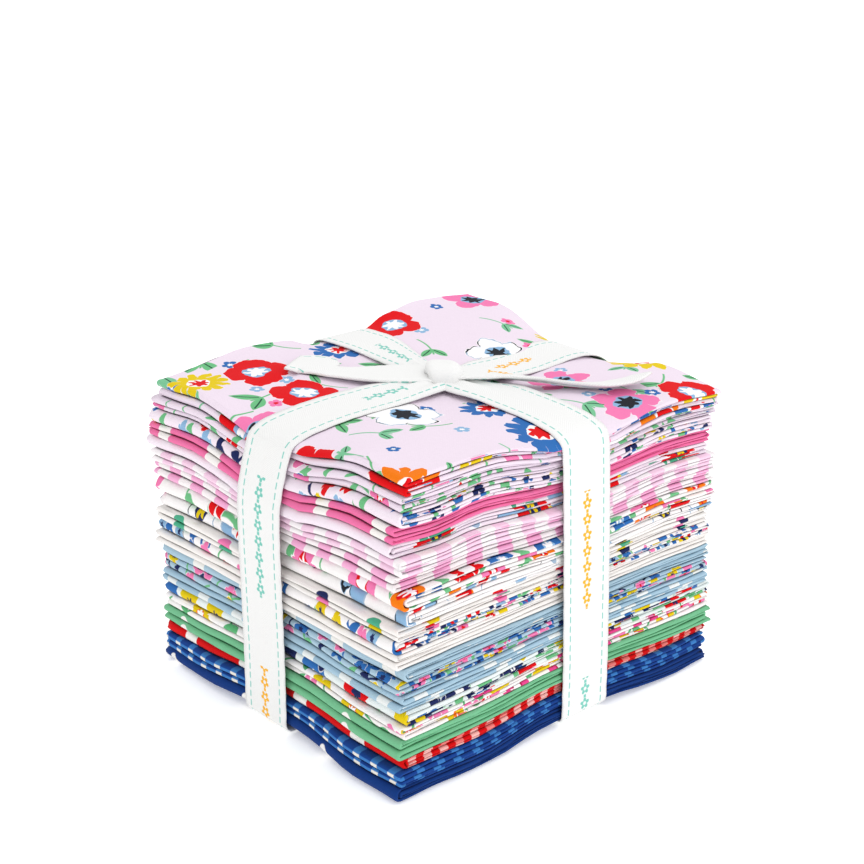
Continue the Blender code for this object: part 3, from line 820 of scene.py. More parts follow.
@dataclass(frozen=True)
class CottonTwillTape:
    """White cotton twill tape with a printed running-stitch border and a small ornament.

    The eye sees bright matt white with fine slanting ribs, and thin crisp ink on the face
    only; the back is plain.
    """

    name: str
    zones: tuple
    white: str = "#F6F6F5"
    stitch_colour: str = "#86D3C6"
    stitch_pitch: float = 3.2
    stitch_share: float = 0.66
    stitch_place: float = 7.2
    stitch_width: float = 0.5
    stitch_blur: float = 0.2
    # Real twill ribs are 0.5 mm apart; they are drawn 0.8 mm apart to show.
    rib: float = 0.8
    band: float = 5.0
    # Keeps the place across the tape positive where the slant of the ribs turns back.
    band_start: float = 500.0
    motif_pitch: float = 5.2
    motif_radius: float = 2.0
    motif_blur: float = 0.25
    hole: float = 0.32
    speck: float = 0.55
    reflect: float = 0.87
    mottle: float = 0.07

    def ornament(self, shade: Shade, run: Value, side: Value) -> Socket:
        """Mask of the small five-petalled flowers in a row, with a dot between two.

        Args:
            shade: the tree to add to.
            run: place along the tape.
            side: place across the tape.

        Returns:
            1 on the ink and 0 off it.
        """
        add = shade.add
        x = add("SUBTRACT", add("MODULO", run, self.motif_pitch), self.motif_pitch / 2)
        far = shade.distance(x, side)
        lobe = add("ABSOLUTE", add("COSINE", add("MULTIPLY", add("ARCTAN2", side, x), 2.5)))
        reach = add("MULTIPLY", add("MULTIPLY_ADD", lobe, 0.5, 0.5), self.motif_radius)
        petals = shade.inked(add("SUBTRACT", reach, far), blur=self.motif_blur)
        hole = shade.inked(add("SUBTRACT", self.hole * self.motif_radius, far), blur=self.motif_blur)
        flower = add("SUBTRACT", petals, hole, use_clamp=True)
        gap = add("SUBTRACT", self.motif_pitch / 2, add("ABSOLUTE", x))
        beyond = add("MAXIMUM", gap, add("ABSOLUTE", side))
        dot = shade.inked(add("SUBTRACT", self.speck, beyond), blur=self.motif_blur)
        return add("MAXIMUM", flower, dot)

    def material(self) -> bpy.types.Material:
        """Build the node material of the tape.

        Returns:
            The material.
        """
        shade = Shade(self.name)
        add = shade.add
        coords = shade.cloth_place()
        run, side, _ = add("SeparateXYZ", coords, take=None).outputs
        beside = add("ABSOLUTE", add("SUBTRACT", add("ABSOLUTE", side), self.stitch_place))
        thread = shade.inked(add("SUBTRACT", self.stitch_width / 2, beside), blur=self.stitch_blur)
        step = add("FRACT", add("DIVIDE", run, self.stitch_pitch))
        dash = add("MULTIPLY", thread, add("LESS_THAN", step, self.stitch_share))
        total = max(zone.stop for zone in self.zones) + 1.0
        bare = (1.0, 1.0, 1.0, 0.0)
        stops = [(0.0, bare)]
        for zone in sorted(self.zones, key=lambda z: z.start):
            stops += [(zone.start / total, linear(zone.colour)), (zone.stop / total, bare)]
        ink = add("ValToRGB", add("DIVIDE", run, total), stops=stops, take=None).outputs
        flowers = add("MULTIPLY", self.ornament(shade, run, side), ink["Alpha"])
        colour = shade.lay(linear(self.white), (self.stitch_colour, dash), (ink["Color"], flowers))
        fold = add("PINGPONG", add("ADD", side, self.band_start), self.band)
        rib = add("SINE", add("MULTIPLY", add("ADD", run, fold), 2 * math.pi / self.rib))
        fibre = add("TexNoise", {"Vector": coords, "Scale": 1.4, "Detail": 3.0})
        grain = add("ADD", add("MULTIPLY", rib, 0.5), fibre)
        tone = add("MULTIPLY_ADD", grain, self.mottle, self.reflect - 0.045)
        shaded = add("VectorMath", {0: colour, "Scale": tone}, operation="SCALE")
        bump = add("Bump", {"Strength": 0.4, "Distance": 0.1 * MM, "Height": grain})
        shader = add("BsdfPrincipled", {
            "Base Color": shaded, "Roughness": 0.8, "Normal": bump, "Sheen Weight": 0.05,
            "Sheen Roughness": 0.5, "Specular IOR Level": 0.2,
        })
        add("OutputMaterial", shader, take=None)
        return shade.material


# ---- prints of the 21 cottons


# Ink colours that the prints share.
RED, BLUE, ORANGE, PINK, YELLOW = "#E30A14", "#2F6DB5", "#F57C0A", "#F57FB5", "#E8CB10"
LEAF, SKY, NAVY, INK, WHITE = "#6FBF85", "#8FB8DC", "#1F2A5C", "#22262E", "#FDFBFC"
LILAC, CREAM, JADE = "#F0E1EF", "#F9F5F2", "#4FB08C"

MIXED = ((RED, WHITE), (BLUE, RED), (PINK, RED), (YELLOW, NAVY), (SKY, NAVY))


def big_floral(seed: float) -> tuple:
    """Large loose flowers of six kinds with leaves and buds.

    Args:
        seed: number that picks the layout.

    Returns:
        The layers of the print, the lowest first.
    """
    kinds = (
        Flower(0.20, 4, 0.30, RED, WHITE, SKY),
        Flower(0.15, 11, 0.42, BLUE, RED, WHITE),
        Flower(0.17, 13, 0.40, ORANGE, RED, WHITE),
        Flower(0.18, 5, 0.45, PINK, INK, SKY),
        Flower(0.16, 5, 0.30, WHITE, INK, SKY, 1.0),
        Flower(0.14, 12, 0.42, YELLOW, RED, WHITE),
    )
    buds = (
        Flower(0.4, 5, 0.4, BLUE, WHITE, BLUE),
        Flower(0.3, 5, 0.4, PINK, RED, PINK),
        Flower(0.3, 5, 0.4, SKY, WHITE, SKY),
    )
    leaves = (LEAF, LEAF, "#7CC598")
    return (
        Sprigs(Scatter(17.0, 0.7, seed + 1), 8.5, leaves, keep=0.62, vein="#2C5B44"),
        Blooms(Scatter(11.0, 0.6, seed + 2), 2.6, buds, keep=0.22, halo=0.0, wobble=0.8),
        Blooms(Scatter(32.0, 0.45, seed), 11.4, kinds, wobble=4.2, keep=0.95, halo=0.15),
    )


def medium_floral(seed: float, palette: tuple, leaf: str = LEAF, cell: float = 17.0) -> tuple:
    """Flowers of a finger's breadth with leaf sprigs between them.

    Args:
        seed: number that picks the layout.
        palette: pairs of petal and speck colours.
        leaf: colour of the leaves.
        cell: distance between two flowers.

    Returns:
        The layers of the print, the lowest first.
    """
    share = 1.0 / len(palette)
    kinds = tuple(Flower(share, 5 + 3 * (i % 2), 0.38, c, WHITE, h) for i, (c, h) in enumerate(palette))
    return (
        Sprigs(Scatter(cell * 0.62, 0.7, seed + 1), cell * 0.34, (leaf,), keep=0.6),
        Blooms(Scatter(cell, 0.5, seed), cell * 0.3, kinds, wobble=1.5, keep=0.9, halo=0.3),
    )


def small_floral(seed: float, palette: tuple, cell: float = 8.0) -> tuple:
    """Small close flowers and sprigs with dark little stems.

    Args:
        seed: number that picks the layout.
        palette: pairs of petal and heart colours.
        cell: distance between two flowers.

    Returns:
        The layers of the print, the lowest first.
    """
    share = 1.0 / len(palette)
    kinds = tuple(Flower(share, 5, 0.35, c, h, c) for c, h in palette)
    return (
        Sprigs(Scatter(cell * 0.8, 0.8, seed + 1), cell * 0.42, (LEAF, NAVY, BLUE), keep=0.7, slim=0.5),
        Blooms(Scatter(cell, 0.55, seed), cell * 0.33, kinds, wobble=1.0, keep=0.92, halo=0.15),
    )


def squares(pitch: float, size: float, colour: str, shift: tuple, tall: float) -> tuple:
    """A print of small plain squares in brick order."""
    return (Spots(pitch, size, (colour,), SpotForm.SQUARE, shift, tall=tall),)


def dots(pitch: float, size: float, colours: tuple, shift: tuple, tall: float) -> tuple:
    """A print of small plain dots in brick order."""
    return (Spots(pitch, size, colours, SpotForm.DISC, shift, tall=tall),)


SPARSE_MOTIFS = (
    Flower(0.4, 7, 0.3, SKY, RED, YELLOW, 1.0),
    Flower(0.3, 5, 0.3, RED, YELLOW, NAVY),
    Flower(0.3, 9, 0.35, JADE, NAVY, YELLOW),
)
OUTLINED_MOTIFS = (
    Flower(0.35, 6, 0.3, WHITE, YELLOW, NAVY, 1.0),
    Flower(0.35, 5, 0.35, SKY, RED, WHITE, 1.0),
    Flower(0.3, 8, 0.3, WHITE, RED, ORANGE, 1.0),
)
# Two spots of unlike reds for every check of the cut's width, which makes 80 checks.
RED_CHECKS = Spots(CUT_WIDTH / 80, 3.0, ("#F2837F", "#F9BDB8"), SpotForm.SQUARE, (2.856, 0.0), False, 1.0603)

# Each cotton: its name, its ground and its print. From the top of the stack down.
COTTONS = (
    QuiltingCotton("large_floral_cotton_on_lilac", LILAC, big_floral(3.0)),
    QuiltingCotton(
        "trailing_floral_cotton_on_lilac", LILAC,
        medium_floral(5.0, ((PINK, RED), (RED, WHITE), (BLUE, WHITE))),
    ),
    QuiltingCotton("posy_cotton_on_pale_pink", "#F6E9F4", small_floral(7.0, MIXED, 9.0)),
    QuiltingCotton(
        "rose_pink_cotton_with_cream_squares", "#F277AB", squares(25.0, 6.0, CREAM, (4.0, 6.7), 0.533),
    ),
    QuiltingCotton(
        "sparse_motif_cotton_on_pale_pink", "#F7EAF5",
        (Blooms(Scatter(34.0, 0.5, 9.0), 9.0, SPARSE_MOTIFS, wobble=2.4),),
    ),
    QuiltingCotton(
        "soft_pink_gingham", "#FBF6F8", (Gingham(11.104, "#F5B0D8", "#F9D5EB", (-3.2, 0.0)),),
    ),
    QuiltingCotton(
        "pink_gingham_with_cream", "#FBF5F6", (Gingham(12.114, "#F172B4", "#F8B4DA", (-5.2, 0.0)),),
    ),
    QuiltingCotton(
        "garden_floral_cotton_on_white", "#FBF8F7",
        medium_floral(11.0, ((BLUE, SKY), (PINK, RED), (ORANGE, RED), (RED, WHITE)), cell=20.0),
    ),
    QuiltingCotton(
        "outlined_motif_cotton_on_white", "#FCF9F9",
        (Blooms(Scatter(26.0, 0.5, 13.0), 8.5, OUTLINED_MOTIFS, wobble=2.6),),
    ),
    QuiltingCotton(
        "dotted_cotton_on_cream", CREAM, dots(23.0, 6.0, (PINK, YELLOW, JADE, NAVY, RED), (3.0, 7.6), 0.5794),
    ),
    QuiltingCotton("small_floral_cotton_on_white", "#FBF8F8", small_floral(15.0, MIXED, 8.0)),
    QuiltingCotton("cream_cotton", "#F8F4F1"),
    QuiltingCotton(
        "sky_cotton_with_white_squares", "#ADCADB", squares(22.0, 5.5, "#F2F2EE", (0.0, 6.7), 0.6057),
    ),
    QuiltingCotton(
        "small_floral_cotton_on_sky", "#B1CDDE",
        small_floral(17.0, ((PINK, RED), (BLUE, NAVY), (YELLOW, NAVY), (PINK, NAVY)), 9.0),
    ),
    QuiltingCotton("sky_cotton_with_pale_checks", "#A9C8DB", squares(17.0, 5.0, "#EDF1F0", (6.0, 9.0), 0.8)),
    QuiltingCotton(
        "mint_white_cotton_with_flecks", "#ECF4F3",
        small_floral(19.0, ((YELLOW, NAVY), (RED, NAVY), (NAVY, WHITE)), 17.0),
    ),
    QuiltingCotton(
        "rose_cotton_on_white", "#FBF8F7",
        medium_floral(21.0, (("#E8478F", "#B81C55"), (PINK, RED), (YELLOW, ORANGE)), "#5DB577", 19.0),
    ),
    QuiltingCotton("green_cotton_with_cream_dots", "#78C193", dots(40.0, 5.0, (CREAM,), (9.0, 8.6), 0.3331)),
    QuiltingCotton(
        "red_cotton_with_cream_squares", "#DE0A0F",
        (RED_CHECKS, *squares(27.0, 6.0, CREAM, (0.0, 6.7), 0.4935)),
    ),
    QuiltingCotton("blue_gingham", "#EFEBE2", (Gingham(7.403, "#164391", "#3B7CC4", (1.0, 1.0), 0.64),)),
    QuiltingCotton("navy_cotton_with_cream_dots", "#123A80", dots(38.0, 4.4, (CREAM,), (14.0, 8.4), 0.3507)),
)


# ---- one folded cut


class PassOrder(Enum):
    """Order in which the strip visits the four levels of its piece."""

    CONCERTINA = (0, 1, 2, 3)
    BOOK = (0, 3, 2, 1)


class PlyOrder(Enum):
    """Order in which the cloth visits the four plies of its strip."""

    WRAP_DOWN = (0, 3, 2, 1)
    WRAP_UP = (3, 0, 1, 2)


@dataclass(frozen=True)
class CutRow:
    """One line of the stack's table: a cut's own sizes, place and folds."""

    thick: float
    shift_x: float
    shift_y: float
    turn: float
    wide: float
    deep: float
    order: PassOrder
    plies: PlyOrder


CONCERTINA, BOOK = PassOrder.CONCERTINA, PassOrder.BOOK
UP, DOWN = PlyOrder.WRAP_UP, PlyOrder.WRAP_DOWN

# From the top of the stack down. Columns: thick, shift x, shift y, turn in degrees, wide, deep,
# pass order, ply order.
ROWS = (
    CutRow(5.4, 0.2, 0.4, 0.2, 0.4, 0.0, CONCERTINA, UP),
    CutRow(4.0, -1.2, 0.2, 0.5, 0.8, 1.2, CONCERTINA, DOWN),
    CutRow(4.5, -1.0, -0.9, 0.3, 1.2, 0.6, BOOK, UP),
    CutRow(4.7, -1.9, -1.3, 0.1, 1.0, 1.0, CONCERTINA, DOWN),
    CutRow(4.1, -2.6, -2.0, -0.3, 2.0, 0.8, BOOK, DOWN),
    CutRow(4.9, -0.6, -0.2, 0.3, 2.4, 2.2, CONCERTINA, UP),
    CutRow(4.8, -0.9, 0.3, -0.5, 0.6, 2.0, CONCERTINA, DOWN),
    CutRow(5.8, -0.1, 0.3, 0.4, 2.0, 2.0, BOOK, UP),
    CutRow(4.6, 0.2, 0.6, 0.6, 0.6, 1.0, BOOK, DOWN),
    CutRow(4.1, -0.6, -0.2, 0.2, 0.8, 1.4, CONCERTINA, UP),
    CutRow(3.9, 0.0, 0.2, -0.4, 0.4, 1.8, BOOK, DOWN),
    CutRow(4.6, -0.4, -0.4, 0.1, 0.6, 2.2, CONCERTINA, DOWN),
    CutRow(3.8, 0.4, 0.5, 0.5, 0.4, 0.8, BOOK, UP),
    CutRow(4.3, 0.8, 0.6, -0.2, 0.0, 0.6, CONCERTINA, DOWN),
    CutRow(5.2, 0.9, 0.3, 0.1, 0.6, 1.4, CONCERTINA, UP),
    CutRow(3.8, 1.3, 1.0, 0.4, 0.2, 1.6, BOOK, DOWN),
    CutRow(4.6, 1.2, 1.2, 0.2, 0.4, 2.0, CONCERTINA, UP),
    CutRow(5.9, 1.5, 0.9, -0.4, 1.0, 2.2, CONCERTINA, DOWN),
    CutRow(3.8, 0.9, 1.4, 0.3, 0.0, 1.0, BOOK, DOWN),
    CutRow(5.4, 1.3, 0.4, 0.1, 0.8, 2.2, CONCERTINA, UP),
    CutRow(4.1, 1.3, 0.5, -0.4, 1.2, 2.6, BOOK, DOWN),
)


class Station(NamedTuple):
    """One place at which the cloth is drawn, along or across the cut.

    Attributes:
        near: share of the low side (1 at the left or front side, 0 at the far one).
        hang: distance inwards from the low side, negative from the high side.
        height: across the cut the ply, along it the share of the piece's height of every ply.
        flat: place on the flat cut, in quarters of it.
        visit: number of the visit to a ply or level.
    """

    near: float
    hang: Union[float, Array]
    height: Union[float, Array]
    flat: float
    visit: int


@dataclass(frozen=True)
class EdgeWave:
    """A long and a short wave along an edge of the cloth, in millimetres."""

    long: float
    long_rate: float
    short: float
    short_rate: float
    shift: float

    def at(self, place: Array, seed: Array) -> Array:
        """Height of both waves at places along the edge; the seed shifts them."""
        first = self.long * np.sin(self.long_rate * place + seed)
        return first + self.short * np.sin(self.short_rate * place + self.shift * seed)


FOLD_WAVE = EdgeWave(0.28, 0.09, 0.13, 0.29, 2.1)
EDGE_WAVE = EdgeWave(0.22, 0.10, 0.14, 0.33, 1.9)


@dataclass
class FoldedCut:
    """One fat quarter: a cut folded in four across, and the strip folded in four again.

    Sizes of the folds are millimetres; a lip is the thickness of the cloth at its cut edge.
    """

    node: str
    row: CutRow
    number: int
    low: float
    high: float
    rests_on: str
    shape: StackShape
    finish: QuiltingCotton
    # Stations of the top face, where it shows, and of every other run.
    dense: int = 0
    stations: int = 24
    passes: int = 4
    gap: float = 0.055
    clear: float = 0.12
    wall: float = 0.9
    inset: float = 0.45
    uneven: float = 0.4
    nest: float = 0.35
    ply_inset: float = 0.12
    # Pressed turns between plies are flatter than a half circle, which would be 0.5.
    ply_round: float = 0.36
    turn_steps: int = 7
    ply_turn_steps: int = 5
    # Shares of one panel's length that lie in a turn, along and across.
    turn_flat: float = 0.022
    ply_turn_flat: float = 0.006
    # Share of the gap to the next ply that a lip fills, and its flat length in panels.
    lip: float = 0.85
    lip_flat: float = 0.0022

    def __post_init__(self) -> None:
        """Work out the share of the height that one pass takes, and the pitches."""
        self.pass_share = (1 - (self.passes - 1) * self.gap) / self.passes
        self.ply_pitch = self.row.thick * self.pass_share / (self.passes - 1)
        self.pass_pitch = self.row.thick * (self.pass_share + self.gap)
        self.name = self.node.replace("fat_quarter", "folded_cotton")
        self.slot = self.node.replace("fat_quarter", "cotton")

    def run_places(self, count: int) -> Array:
        """Places from 0 to 1 along one run, closer together near both ends."""
        t = np.linspace(0.0, 1.0, count)
        return 0.45 * t + 0.55 * (0.5 - 0.5 * np.cos(np.pi * t))

    def ply_turn(self, span: int) -> tuple[float, float]:
        """Distances inwards of the tip and the base of a turn over this many plies."""
        tip = self.ply_inset * (3 - span)
        return tip, tip + self.ply_round * span * self.ply_pitch

    def stations_across(self) -> list[Station]:
        """Stations across the cut: four plies, with a narrow turn between two.

        Returns:
            The stations, from one cut edge to the other.
        """
        made = []
        order = self.row.plies.value
        # Both cut edges lie at the left; each turns a little towards the ply beside it.
        lip = -self.lip if self.row.plies is PlyOrder.WRAP_UP else self.lip
        for visit, ply in enumerate(order):
            rightwards = visit % 2 == 0
            last = visit == self.passes - 1
            ends = []
            for end in (0, 1):
                other = visit - 1 if (end == 0) == rightwards else visit + 1
                if 0 <= other < self.passes:
                    ends.append(self.ply_turn(abs(order[other] - ply))[1])
                else:
                    ends.append(0.15 + 0.2 * math.sin(2.1 * self.number + 1.7 * visit))
            start = 0.5 * self.ply_turn_flat if visit else self.lip_flat
            stop = 1.0 - (self.lip_flat if last else 0.5 * self.ply_turn_flat)
            if visit == 0:
                made.append(Station(1.0, ends[0], ply + lip, 0.0, visit))
            places = self.run_places(self.dense if self.dense and visit == 1 else self.stations)
            for place in places if rightwards else places[::-1]:
                gone = place if rightwards else 1 - place
                hang = ends[0] * (1 - place) - ends[1] * place
                flat = visit + start + gone * (stop - start)
                made.append(Station(1 - place, hang, float(ply), flat, visit))
            if last:
                made.append(Station(1.0, ends[0], ply + lip, visit + 1.0, visit))
                continue
            following = order[visit + 1]
            tip, base = self.ply_turn(abs(following - ply))
            middle = (ply + following) / 2
            for step in range(1, self.ply_turn_steps):
                angle = math.pi * step / self.ply_turn_steps
                hang = base - (base - tip) * math.sin(angle)
                made.append(Station(
                    0.0 if rightwards else 1.0, -hang if rightwards else hang,
                    middle + (ply - middle) * math.cos(angle),
                    visit + 1 + self.ply_turn_flat * (step / self.ply_turn_steps - 0.5), visit,
                ))
        return made

    def share_in_pass(self, level: int, visit: int, ply: Array, lip: float = 0.0) -> Array:
        """Share of the piece's height of each ply in one pass, or of a lip that hangs from it.

        Args:
            level: level of the pass, from the bottom.
            visit: number of the pass; every second one lies upside down.
            ply: ply of each station across.
            lip: share of the gap to the next ply that the lip fills.

        Returns:
            Shares from 0 to 1.
        """
        upright = ply if visit % 2 == 0 else (self.passes - 1) - ply
        upright = upright - lip * np.clip(upright, 0, 1)
        return level * (self.pass_share + self.gap) + upright / (self.passes - 1) * self.pass_share

    def turn_along(
        self, visit: int, share: Array, after: Array, tip: float, reach: Array
    ) -> list[Station]:
        """Stations of one thick turn between two passes.

        Args:
            visit: number of the pass that goes into the turn.
            share: share of the height of each ply before the turn.
            after: the same after it.
            tip: distance inwards of the outermost ply's tip.
            reach: distance inwards at which the turn begins.

        Returns:
            The stations between the two passes.
        """
        towards_front = visit % 2 == 0
        drop = np.abs(after - share)
        wide = max(np.max(drop), 1e-9)
        inner = (wide - drop) / max(wide - np.min(drop), 1e-9)
        tips = tip + self.wall * inner
        middle = (share + after) / 2
        made = []
        for step in range(1, self.turn_steps):
            angle = math.pi * step / self.turn_steps
            hang = reach - (reach - tips) * math.sin(angle)
            height = middle + (share - middle) * math.cos(angle)
            flat = visit + 1 + self.turn_flat * (step / self.turn_steps - 0.5)
            near, sign = (1.0, 1.0) if towards_front else (0.0, -1.0)
            made.append(Station(near, sign * hang, height, flat, visit))
        return made

    def stations_along(self, ply: Array) -> list[Station]:
        """Stations along the cut for every ply of the strip.

        Args:
            ply: ply of each station across.

        Returns:
            The stations, from one cut edge to the other.
        """
        made = []
        order = self.row.order.value
        reach_before = np.full_like(ply, 0.5 + 0.4 * math.sin(1.3 * self.number))
        spine = (0.0, 0.0)
        for visit, level in enumerate(order):
            towards_front = visit % 2 == 0
            last = visit == self.passes - 1
            share = self.share_in_pass(level, visit, ply)
            if last:
                reach_after = np.full_like(ply, 0.7 + 0.5 * math.sin(2.1 * self.number))
            else:
                following = order[visit + 1]
                tip = self.inset + self.uneven * math.sin(1.7 * self.number + 2.3 * visit)
                reach = tip + (abs(following - level) + 1) * self.pass_pitch / 2
                if self.row.order is PassOrder.BOOK and visit == 0:
                    spine = (tip, reach)
                elif self.row.order is PassOrder.BOOK and towards_front:
                    # The inner turn of a book fold nests in the spine.
                    tip, reach = spine[0] + self.wall + self.nest, spine[1]
                reach_after = np.full_like(ply, reach)
            start = visit + (self.turn_flat / 2 if visit else self.lip_flat)
            stop = visit + 1 - (self.lip_flat if last else self.turn_flat / 2)
            lip = self.share_in_pass(level, visit, ply, self.lip)
            if visit == 0:
                made.append(Station(0.0, -reach_before, lip, 0.0, visit))
            front, back = (reach_after, reach_before) if towards_front else (reach_before, reach_after)
            on_top = self.dense and level == self.passes - 1
            for place in self.run_places(self.dense if on_top else self.stations):
                near = place if towards_front else 1 - place
                hang = front * near - back * (1 - near)
                made.append(Station(near, hang, share, start + place * (stop - start), visit))
            if last:
                made.append(Station(0.0, -reach_after, lip, visit + 1.0, visit))
            else:
                after = self.share_in_pass(following, visit + 1, ply)
                made += self.turn_along(visit, share, after, tip, reach_after)
            reach_before = reach_after
        return made

    def surface(self, share: float, level: int, x: Array, y: Array) -> Array:
        """Height of one of the piece's two faces, with the creases on the topmost one.

        Args:
            share: share of the stack's height under the face.
            level: number of cuts under the face.
            x: places across the stack.
            y: places along the stack.

        Returns:
            Heights in millimetres.
        """
        height = self.shape.face(level, share, x, y)
        if share == 1.0:
            for crease in CREASES:
                height = height + crease.at(x, y)
        return height

    def points(self) -> tuple[Array, Array]:
        """All points of the sheet and their places on the flat cut.

        Returns:
            Points as an array (across, along, 3) in millimetres, and flat places as an array
            (across, along, 2) in millimetres.
        """
        across = self.stations_across()
        near_x, hang_x, ply, flat_x, visit_x = (np.array(column)[:, None] for column in zip(*across))
        along = self.stations_along(ply[:, 0])
        near_y, flat_y, visit_y = (
            np.array([getattr(station, name) for station in along])[None, :]
            for name in ("near", "flat", "visit")
        )
        hang_y = np.array([station.hang for station in along]).T
        share = np.array([station.height for station in along]).T
        s = self.shape
        turn = math.radians(self.row.turn)
        half_x = s.half_x + self.row.wide / 2
        half_y = s.half_y + self.row.deep / 2
        guess_x = half_x * (1 - 2 * near_x) * np.ones_like(share)
        press_y = s.pressed(self.number, guess_x - s.groove_x, s.half_x)
        front = self.row.shift_y - half_y + turn * guess_x + press_y
        back = self.row.shift_y + half_y + turn * guess_x - press_y
        seed = 1.9 * self.number + 2.3 * visit_y
        ripple = FOLD_WAVE.at(guess_x, seed)
        at_end = np.clip(1 - np.minimum(near_y, 1 - near_y) * 12, 0, 1)
        inwards = np.where(near_y > 0.5, 1.0, -1.0)
        y = front * near_y + back * (1 - near_y) + hang_y + ripple * at_end * inwards
        press_x = s.pressed(self.number, y - s.groove_y, s.half_y)
        left = self.row.shift_x - half_x - turn * y + press_x
        right = self.row.shift_x + half_x - turn * y - press_x
        seed = 1.3 * self.number + 1.7 * visit_y + 0.9 * visit_x
        ragged = 0.4 + 0.35 * np.sin(1.1 * self.number + 9.0 * share) + EDGE_WAVE.at(y, seed)
        side = np.where(near_x > 0.5, 1.0, -1.0)
        at_end = np.clip(1 - np.minimum(near_x, 1 - near_x) * 10, 0, 1)
        x = left * near_x + right * (1 - near_x) + hang_x + ragged * at_end * side
        low = self.surface(self.low, self.number, x, y) + self.clear
        high = self.surface(self.high, self.number + 1, x, y) - self.clear
        points = np.stack([x, y, low + (high - low) * share], axis=-1)
        flat = np.stack(np.broadcast_arrays(flat_x * CUT_WIDTH, flat_y * CUT_LENGTH), axis=-1)
        return points, flat / self.passes

    def build(self) -> bpy.types.Object:
        """Make the sheet, dress it and tie it to the frame.

        Returns:
            The finished piece.
        """
        points, flat = self.points()
        rows, columns = points.shape[:2]
        corner = np.arange(rows * columns).reshape(rows, columns)
        faces = np.stack([corner[:-1, :-1], corner[1:, :-1], corner[1:, 1:], corner[:-1, 1:]], axis=-1)
        faces = faces.reshape(-1, 4)
        places = flat.reshape(-1, 2)[faces]
        piece = make_piece(
            self.name, points.reshape(-1, 3), faces, places * MM,
            places / np.array([CUT_WIDTH, CUT_LENGTH]), self.finish.material(),
        )
        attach(piece, BODY)
        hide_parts(self.node)
        return piece


def make_piece(
    name: str,
    points: Array,
    faces: Array,
    print_uv: Array,
    bake_uv: Array,
    material: bpy.types.Material,
) -> bpy.types.Object:
    """Write a mesh of quads with its two maps.

    Args:
        name: the object's name.
        points: vertices in millimetres.
        faces: four vertex numbers for each quad.
        print_uv: place on the flat cloth in metres at every corner, (quads, 4, 2).
        bake_uv: the same place in the unit square, each part of the cloth on its own.
        material: the finish.

    Returns:
        The object, smooth shaded and linked to the scene.
    """
    mesh = bpy.data.meshes.new(name)
    mesh.from_pydata((points * MM).tolist(), [], faces.tolist())
    for label, values in ((PRINT_MAP, print_uv), (BAKE_MAP, bake_uv)):
        layer = mesh.uv_layers.new(name=label)
        layer.data.foreach_set("uv", np.ascontiguousarray(values, dtype=np.float32).ravel())
    mesh.polygons.foreach_set("use_smooth", np.ones(len(faces), dtype=bool))
    mesh.materials.append(material)
    mesh.update()
    piece = bpy.data.objects.new(name, mesh)
    bpy.context.scene.collection.objects.link(piece)
    return piece


@dataclass
class Stack:
    """All the folded cuts, from the bottom one up."""

    shape: StackShape = field(default_factory=StackShape)
    top_dense: int = 84
    tie_node: str = "ribbon_tie"

    def cuts(self) -> list[FoldedCut]:
        """Lay out every cut of the stack, with its place in the height.

        Returns:
            The cuts, from the bottom one up.
        """
        rows = ROWS[::-1]
        nodes = [f"fat_quarter_{place:02d}" for place in range(len(rows), 0, -1)]
        total = sum(row.thick for row in rows)
        made = []
        below = 0.0
        for number, (row, finish) in enumerate(zip(rows, COTTONS[::-1])):
            top = number == len(rows) - 1
            above = 1.0 if top else (below * total + row.thick) / total
            made.append(FoldedCut(
                nodes[number], row, number, low=below, high=above,
                rests_on=nodes[number - 1] if number else self.tie_node,
                shape=self.shape, finish=finish, dense=self.top_dense if top else 0,
            ))
            below = above
        return made

    def build(self) -> list[FoldedCut]:
        """Build every cut and report it.

        Returns:
            The cuts, from the bottom one up.
        """
        made = self.cuts()
        for cut in made:
            piece = cut.build()
            LOG.info("%s: %d faces", piece.name, len(piece.data.polygons))
        return made


# ---- tape


def turn_of(a: tuple, b: tuple, c: tuple) -> float:
    """Positive when the path a, b, c turns left."""
    return (b[0] - a[0]) * (c[1] - b[1]) - (b[1] - a[1]) * (c[0] - b[0])


def hull(points: list) -> list:
    """Convex outline of points in a plane.

    Args:
        points: pairs of numbers.

    Returns:
        The corners of the outline, anticlockwise.
    """
    ordered = sorted(set(points))
    chains = []
    for run in (ordered, list(reversed(ordered))):
        chain = []
        for point in run:
            while len(chain) > 1 and turn_of(chain[-2], chain[-1], point) <= 1e-9:
                chain.pop()
            chain.append(point)
        chains.append(chain[:-1])
    return chains[0] + chains[1]


def resample(path: Array, step: float, closed: bool) -> Array:
    """Points at even spacing along a path.

    Args:
        path: corner points, one row each.
        step: wanted spacing.
        closed: whether the last point joins the first.

    Returns:
        The new points; a closed path doesn't repeat its first one.
    """
    ring = np.vstack([path, path[:1]]) if closed else path
    gaps = np.linalg.norm(np.diff(ring, axis=0), axis=1)
    run = np.concatenate([[0.0], np.cumsum(gaps)])
    count = max(4, int(round(run[-1] / step)))
    places = np.linspace(0.0, run[-1], count + 1)
    made = np.stack([np.interp(places, run, ring[:, i]) for i in range(ring.shape[1])], axis=1)
    return made[:-1] if closed else made


def soften(path: Array, rounds: int, closed: bool) -> Array:
    """Round a path's corners by repeated averaging.

    Args:
        path: points, one row each.
        rounds: how often each point moves towards its neighbours.
        closed: whether the last point joins the first; the ends of an open path stay.

    Returns:
        The softened path.
    """
    for _ in range(rounds):
        before = np.roll(path, 1, axis=0)
        after = np.roll(path, -1, axis=0)
        moved = (before + 2 * path + after) / 4
        if not closed:
            moved[0], moved[-1] = path[0], path[-1]
        path = moved
    return path


